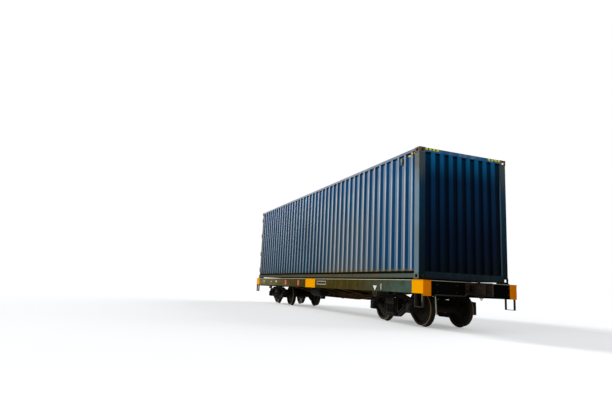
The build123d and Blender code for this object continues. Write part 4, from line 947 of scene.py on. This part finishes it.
for end in signs:
    for place in hoop_places:
        clips.bar([(end * place, y, z) for y, z in hoop], 0.005, sides=8)
clips.bar(valve_to_reservoir, 0.011)
clips.bar(valve_to_cylinder, 0.011)
clips.box(about(lever_x, 0.015), (-0.09, 0.67), (0.688, lever_top))
for bolt_y in (0.64, 0.07, -0.07):
    clips.bolt((lever_x, bolt_y, lever_top), up, 0.03)
clips.piece("brake_pipe_clips_and_levers", "wagon", gear_paint)

# Bolts of the lock pads
lock_x = 5.9945
pad_bolt_y = 1.042
pads = Shape()
for end in signs:
    for side in signs:
        for bolt_x in about(end * lock_x, 0.075):
            pads.bolt((bolt_x, side * pad_bolt_y, sill_top + 0.025), up, 0.018)
pads.piece("lock_pad_bolts", "wagon", lock_steel)

# Couplers: pins' heads, the wear plate and the lock lifter's eye
coupler_height = 0.888
knuckle_pin = (6.67, -0.128)
pin_head = ((0, 0.028), (0.7, 0.028), (1, 0.020))
lifter_x = 6.585
lifter_height = coupler_height - 0.20
wear_plate_reach = (6.36, 6.45)
wear_plate_height = coupler_height - 0.064
for end, end_name in named_ends:
    coupler = Shape()
    pin_x, pin_y = (end * place for place in knuckle_pin)
    for top in signs:
        coupler.turned((pin_x, pin_y, coupler_height + top * 0.128),
                       (pin_x, pin_y, coupler_height + top * 0.150), pin_head)
    eye = upright_ring((end * lifter_x, 0.0, lifter_height), 0.022, 0.022)
    coupler.bar(eye, 0.007, sides=8, closed=True)
    coupler.box(pair(end, *wear_plate_reach), about(0.0, 0.056), about(wear_plate_height, 0.004))
    body = f"coupler_body_{end_name}"
    coupler.piece(f"{end_name}_coupler_fittings", body, coupler_steel)

# Hand brake: hub nut and shaft bearing
hand_x = -2.5
hand_height = 0.56
hand = Shape()
hand.bolt((hand_x, 1.226, hand_height), (0, 1, 0), 0.030)
hand_bearing = ((0, 0.040), (0.8, 0.040), (1, 0.030))
hand.turned((hand_x, 1.15, hand_height), (hand_x, 1.175, hand_height), hand_bearing)
hand.piece("hand_brake_hub", "wagon", gear_paint)

# Ventilators: louvre slots in the covers' faces and sides
vent_half = 0.033
vent_x = vent_high.x - vent_half
vent_face = vent_high.y
slots = Shape()
for side in signs:
    middle = -side * vent_x
    for height in spread(vent_low.z + 0.022, vent_high.z - 0.022, 5):
        slots.box(about(middle, vent_half - 0.008), pair(side, vent_face - 0.001, vent_face + 0.0006),
                  about(height, 0.0035), bevel=0.0003)
    for edge_x in about(middle, vent_half):
        slots.box(about(edge_x, 0.0006), pair(side, vent_face - 0.038, vent_face - 0.002),
                  (vent_low.z + 0.006, vent_high.z - 0.006), bevel=0.0003)
slots.piece("ventilator_slots", "wagon", rubber)

# Doors: gaskets, hinge bolts, rod bracket bolts, handle hubs and catches, and a blank plate
leaf_face = -5.999
leaf_inner = 0.011
leaf_outer = 1.187
leaf_base = box_bottom + 0.130
leaf_top = box_bottom + 2.770
gasket_width = 0.022
hinge_heights = (0.350, 1.050, 1.850, 2.550)
hinge_bolts = [(y, z) for y in (1.05, 1.11) for z in (-0.03, 0.03)]
rod_x = -6.025
bracket_rows = spread(leaf_base + 0.045, leaf_top - 0.045, 5)
hub_radii = ((0, 0.024), (0.1, 0.026), (0.9, 0.026), (1, 0.024))
# Each rod's place across, its handle's height over the container's underside, and the way to the catch
lock_rods = ((0.330, 1.000, 0.215), (0.860, 1.160, -0.215))
plate_y = -0.60
plate_z = box_bottom + 0.61
for side, side_name in named_sides:
    body = f"door_{side_name}"
    gasket = Shape()
    for y in ((leaf_inner, leaf_inner + gasket_width), (leaf_outer - gasket_width, leaf_outer)):
        gasket.box((leaf_face - 0.007, leaf_face + 0.001), pair(side, *y), (leaf_base, leaf_top))
    for z in ((leaf_base, leaf_base + gasket_width), (leaf_top - gasket_width, leaf_top)):
        gasket.box((leaf_face - 0.006, leaf_face + 0.001), pair(side, leaf_inner, leaf_outer), z)
    gasket.piece(f"{side_name}_door_gasket", body, rubber)
    hardware = Shape()
    for height in hinge_heights:
        for bolt_y, rise in hinge_bolts:
            hardware.bolt((leaf_face - 0.010, side * bolt_y, box_bottom + height + rise), rearward, 0.016)
    for place, handle_height, reach in lock_rods:
        for row in bracket_rows:
            for bolt_y in about(place, 0.032):
                hardware.bolt((rod_x - 0.022, side * bolt_y, row), rearward, 0.012)
        handle = box_bottom + handle_height
        tip = side * (place + reach)
        hub_low, hub_high = ((rod_x, side * place, height) for height in about(handle, 0.030))
        hardware.turned(hub_low, hub_high, hub_radii, sides=20)
        hardware.box((rod_x - 0.024, leaf_face), about(tip, 0.018), (handle - 0.040, handle - 0.014))
        hardware.box((rod_x - 0.030, rod_x - 0.016), about(tip, 0.022), about(handle, 0.030))
    hardware.piece(f"{side_name}_door_hardware", body, zinc_gear)
plate = Shape()
plate.box((leaf_face - 0.003, leaf_face + 0.0095), about(plate_y, 0.14), about(plate_z, 0.09), bevel=0.001)
for bolt_y in about(plate_y, 0.125):
    for bolt_z in about(plate_z, 0.075):
        plate.bolt((leaf_face - 0.003, bolt_y, bolt_z), rearward, 0.008)
plate.piece("door_blank_plate", "door_right", plate_finish())

# Lashing rings along the inside of the bottom rails
ring_pitch = 1.26
ring_side = 1.158
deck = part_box("container_floor")[1].z
rings = Shape()
for side in signs:
    for index in range(-4, 5):
        ring_x = index * ring_pitch
        points = upright_ring((ring_x, side * ring_side, deck + 0.026), 0.024, 0.022)
        rings.bar(points, 0.005, sides=8, closed=True)
        rings.box(about(ring_x, 0.02), pair(side, 1.150, 1.172), (deck, deck + 0.012))
rings.piece("lashing_rings", "wagon", zinc_gear)

# Camera, at the photograph's place
photo_width = 612
focal_pixels = 474.6
camera_place = (14.639, -7.127, 0.792)
camera_yaw = radians(158.94)
camera_pitch = radians(9.95)
camera_roll = radians(2.77)
camera_data = bpy.data.cameras.new("photo_camera")
camera_data.sensor_width = 36.0
camera_data.lens = focal_pixels / photo_width * camera_data.sensor_width
camera_data.clip_end = 500.0
camera = bpy.data.objects.new("photo_camera", camera_data)
scene.collection.objects.link(camera)
scene.camera = camera
ahead = Vector((
    cos(camera_pitch) * cos(camera_yaw),
    cos(camera_pitch) * sin(camera_yaw),
    sin(camera_pitch),
))
level_right = ahead.cross(Vector(up)).normalized()
level_up = level_right.cross(ahead)
frame_right = cos(camera_roll) * level_right + sin(camera_roll) * level_up
frame_up = -sin(camera_roll) * level_right + cos(camera_roll) * level_up
turn = Matrix((frame_right, frame_up, -ahead)).transposed().to_4x4()
camera.matrix_world = Matrix.Translation(camera_place) @ turn


# Floor, backdrop and lights


def soft_sun(name, towards, strength, spread_angle):
    """Adds a soft lamp that shines from a direction."""
    data = bpy.data.lights.new(name, "SUN")
    data.energy = strength
    data.angle = radians(spread_angle)
    lamp = bpy.data.objects.new(name, data)
    lamp.rotation_euler = Vector(towards).to_track_quat("Z", "Y").to_euler()
    scene.collection.objects.link(lamp)


soft_sun("key_light", (-0.88, -0.36, 0.32), 2.8, 12)
soft_sun("near_fill", (0.05, -1.0, 0.30), 0.7, 60)
soft_sun("far_fill", (-0.2, 1.0, 0.45), 1.9, 60)


def seen_share(tree):
    """Gives 1 on rays that show the background to the camera, straight or by gloss or glass."""
    path = tree.nodes.new("ShaderNodeLightPath")
    seen = path.outputs["Is Camera Ray"]
    for ray in ("Is Glossy Ray", "Is Transmission Ray"):
        widened = tree.nodes.new("ShaderNodeMath")
        widened.operation = "MAXIMUM"
        tree.links.new(seen, widened.inputs[0])
        tree.links.new(path.outputs[ray], widened.inputs[1])
        seen = widened.outputs[0]
    return seen


white = (1, 1, 1, 1)
world = bpy.data.worlds.new("pale_surround")
scene.world = world
world.use_nodes = True
world_tree = world.node_tree
world_tree.nodes.clear()
choice = world_tree.nodes.new("ShaderNodeMixShader")
world_tree.links.new(seen_share(world_tree), choice.inputs[0])
# The light on the object comes from the first background, and the camera sees the second
for index, (colour, strength) in enumerate(((srgb(232, 238, 248), 0.28), (white, 1.0)), start=1):
    background = world_tree.nodes.new("ShaderNodeBackground")
    background.inputs["Color"].default_value = colour
    background.inputs["Strength"].default_value = strength
    world_tree.links.new(background.outputs[0], choice.inputs[index])
world_out = world_tree.nodes.new("ShaderNodeOutputWorld")
world_tree.links.new(choice.outputs[0], world_out.inputs[0])

floor_reach = 260.0
floor_corners = [(x * floor_reach, y * floor_reach, 0) for x, y in ((-1, -1), (1, -1), (1, 1), (-1, 1))]
floor_mesh = bpy.data.meshes.new("studio_floor")
floor_mesh.from_pydata(floor_corners, [], [(0, 1, 2, 3)])
studio_floor = bpy.data.objects.new("studio_floor", floor_mesh)
scene.collection.objects.link(studio_floor)
floor_coat = Coat("studio_floor_pale", (0.80, 0.80, 0.79, 1), 0.9)
glow = floor_coat.times(seen_share(floor_coat.tree), 0.36)
floor_coat.join(glow, floor_coat.shader.inputs["Emission Strength"])
floor_coat.join(white, floor_coat.shader.inputs["Emission Color"])
floor_mesh.materials.append(floor_coat.done(specular=0.0))

scene.view_settings.view_transform = "Standard"
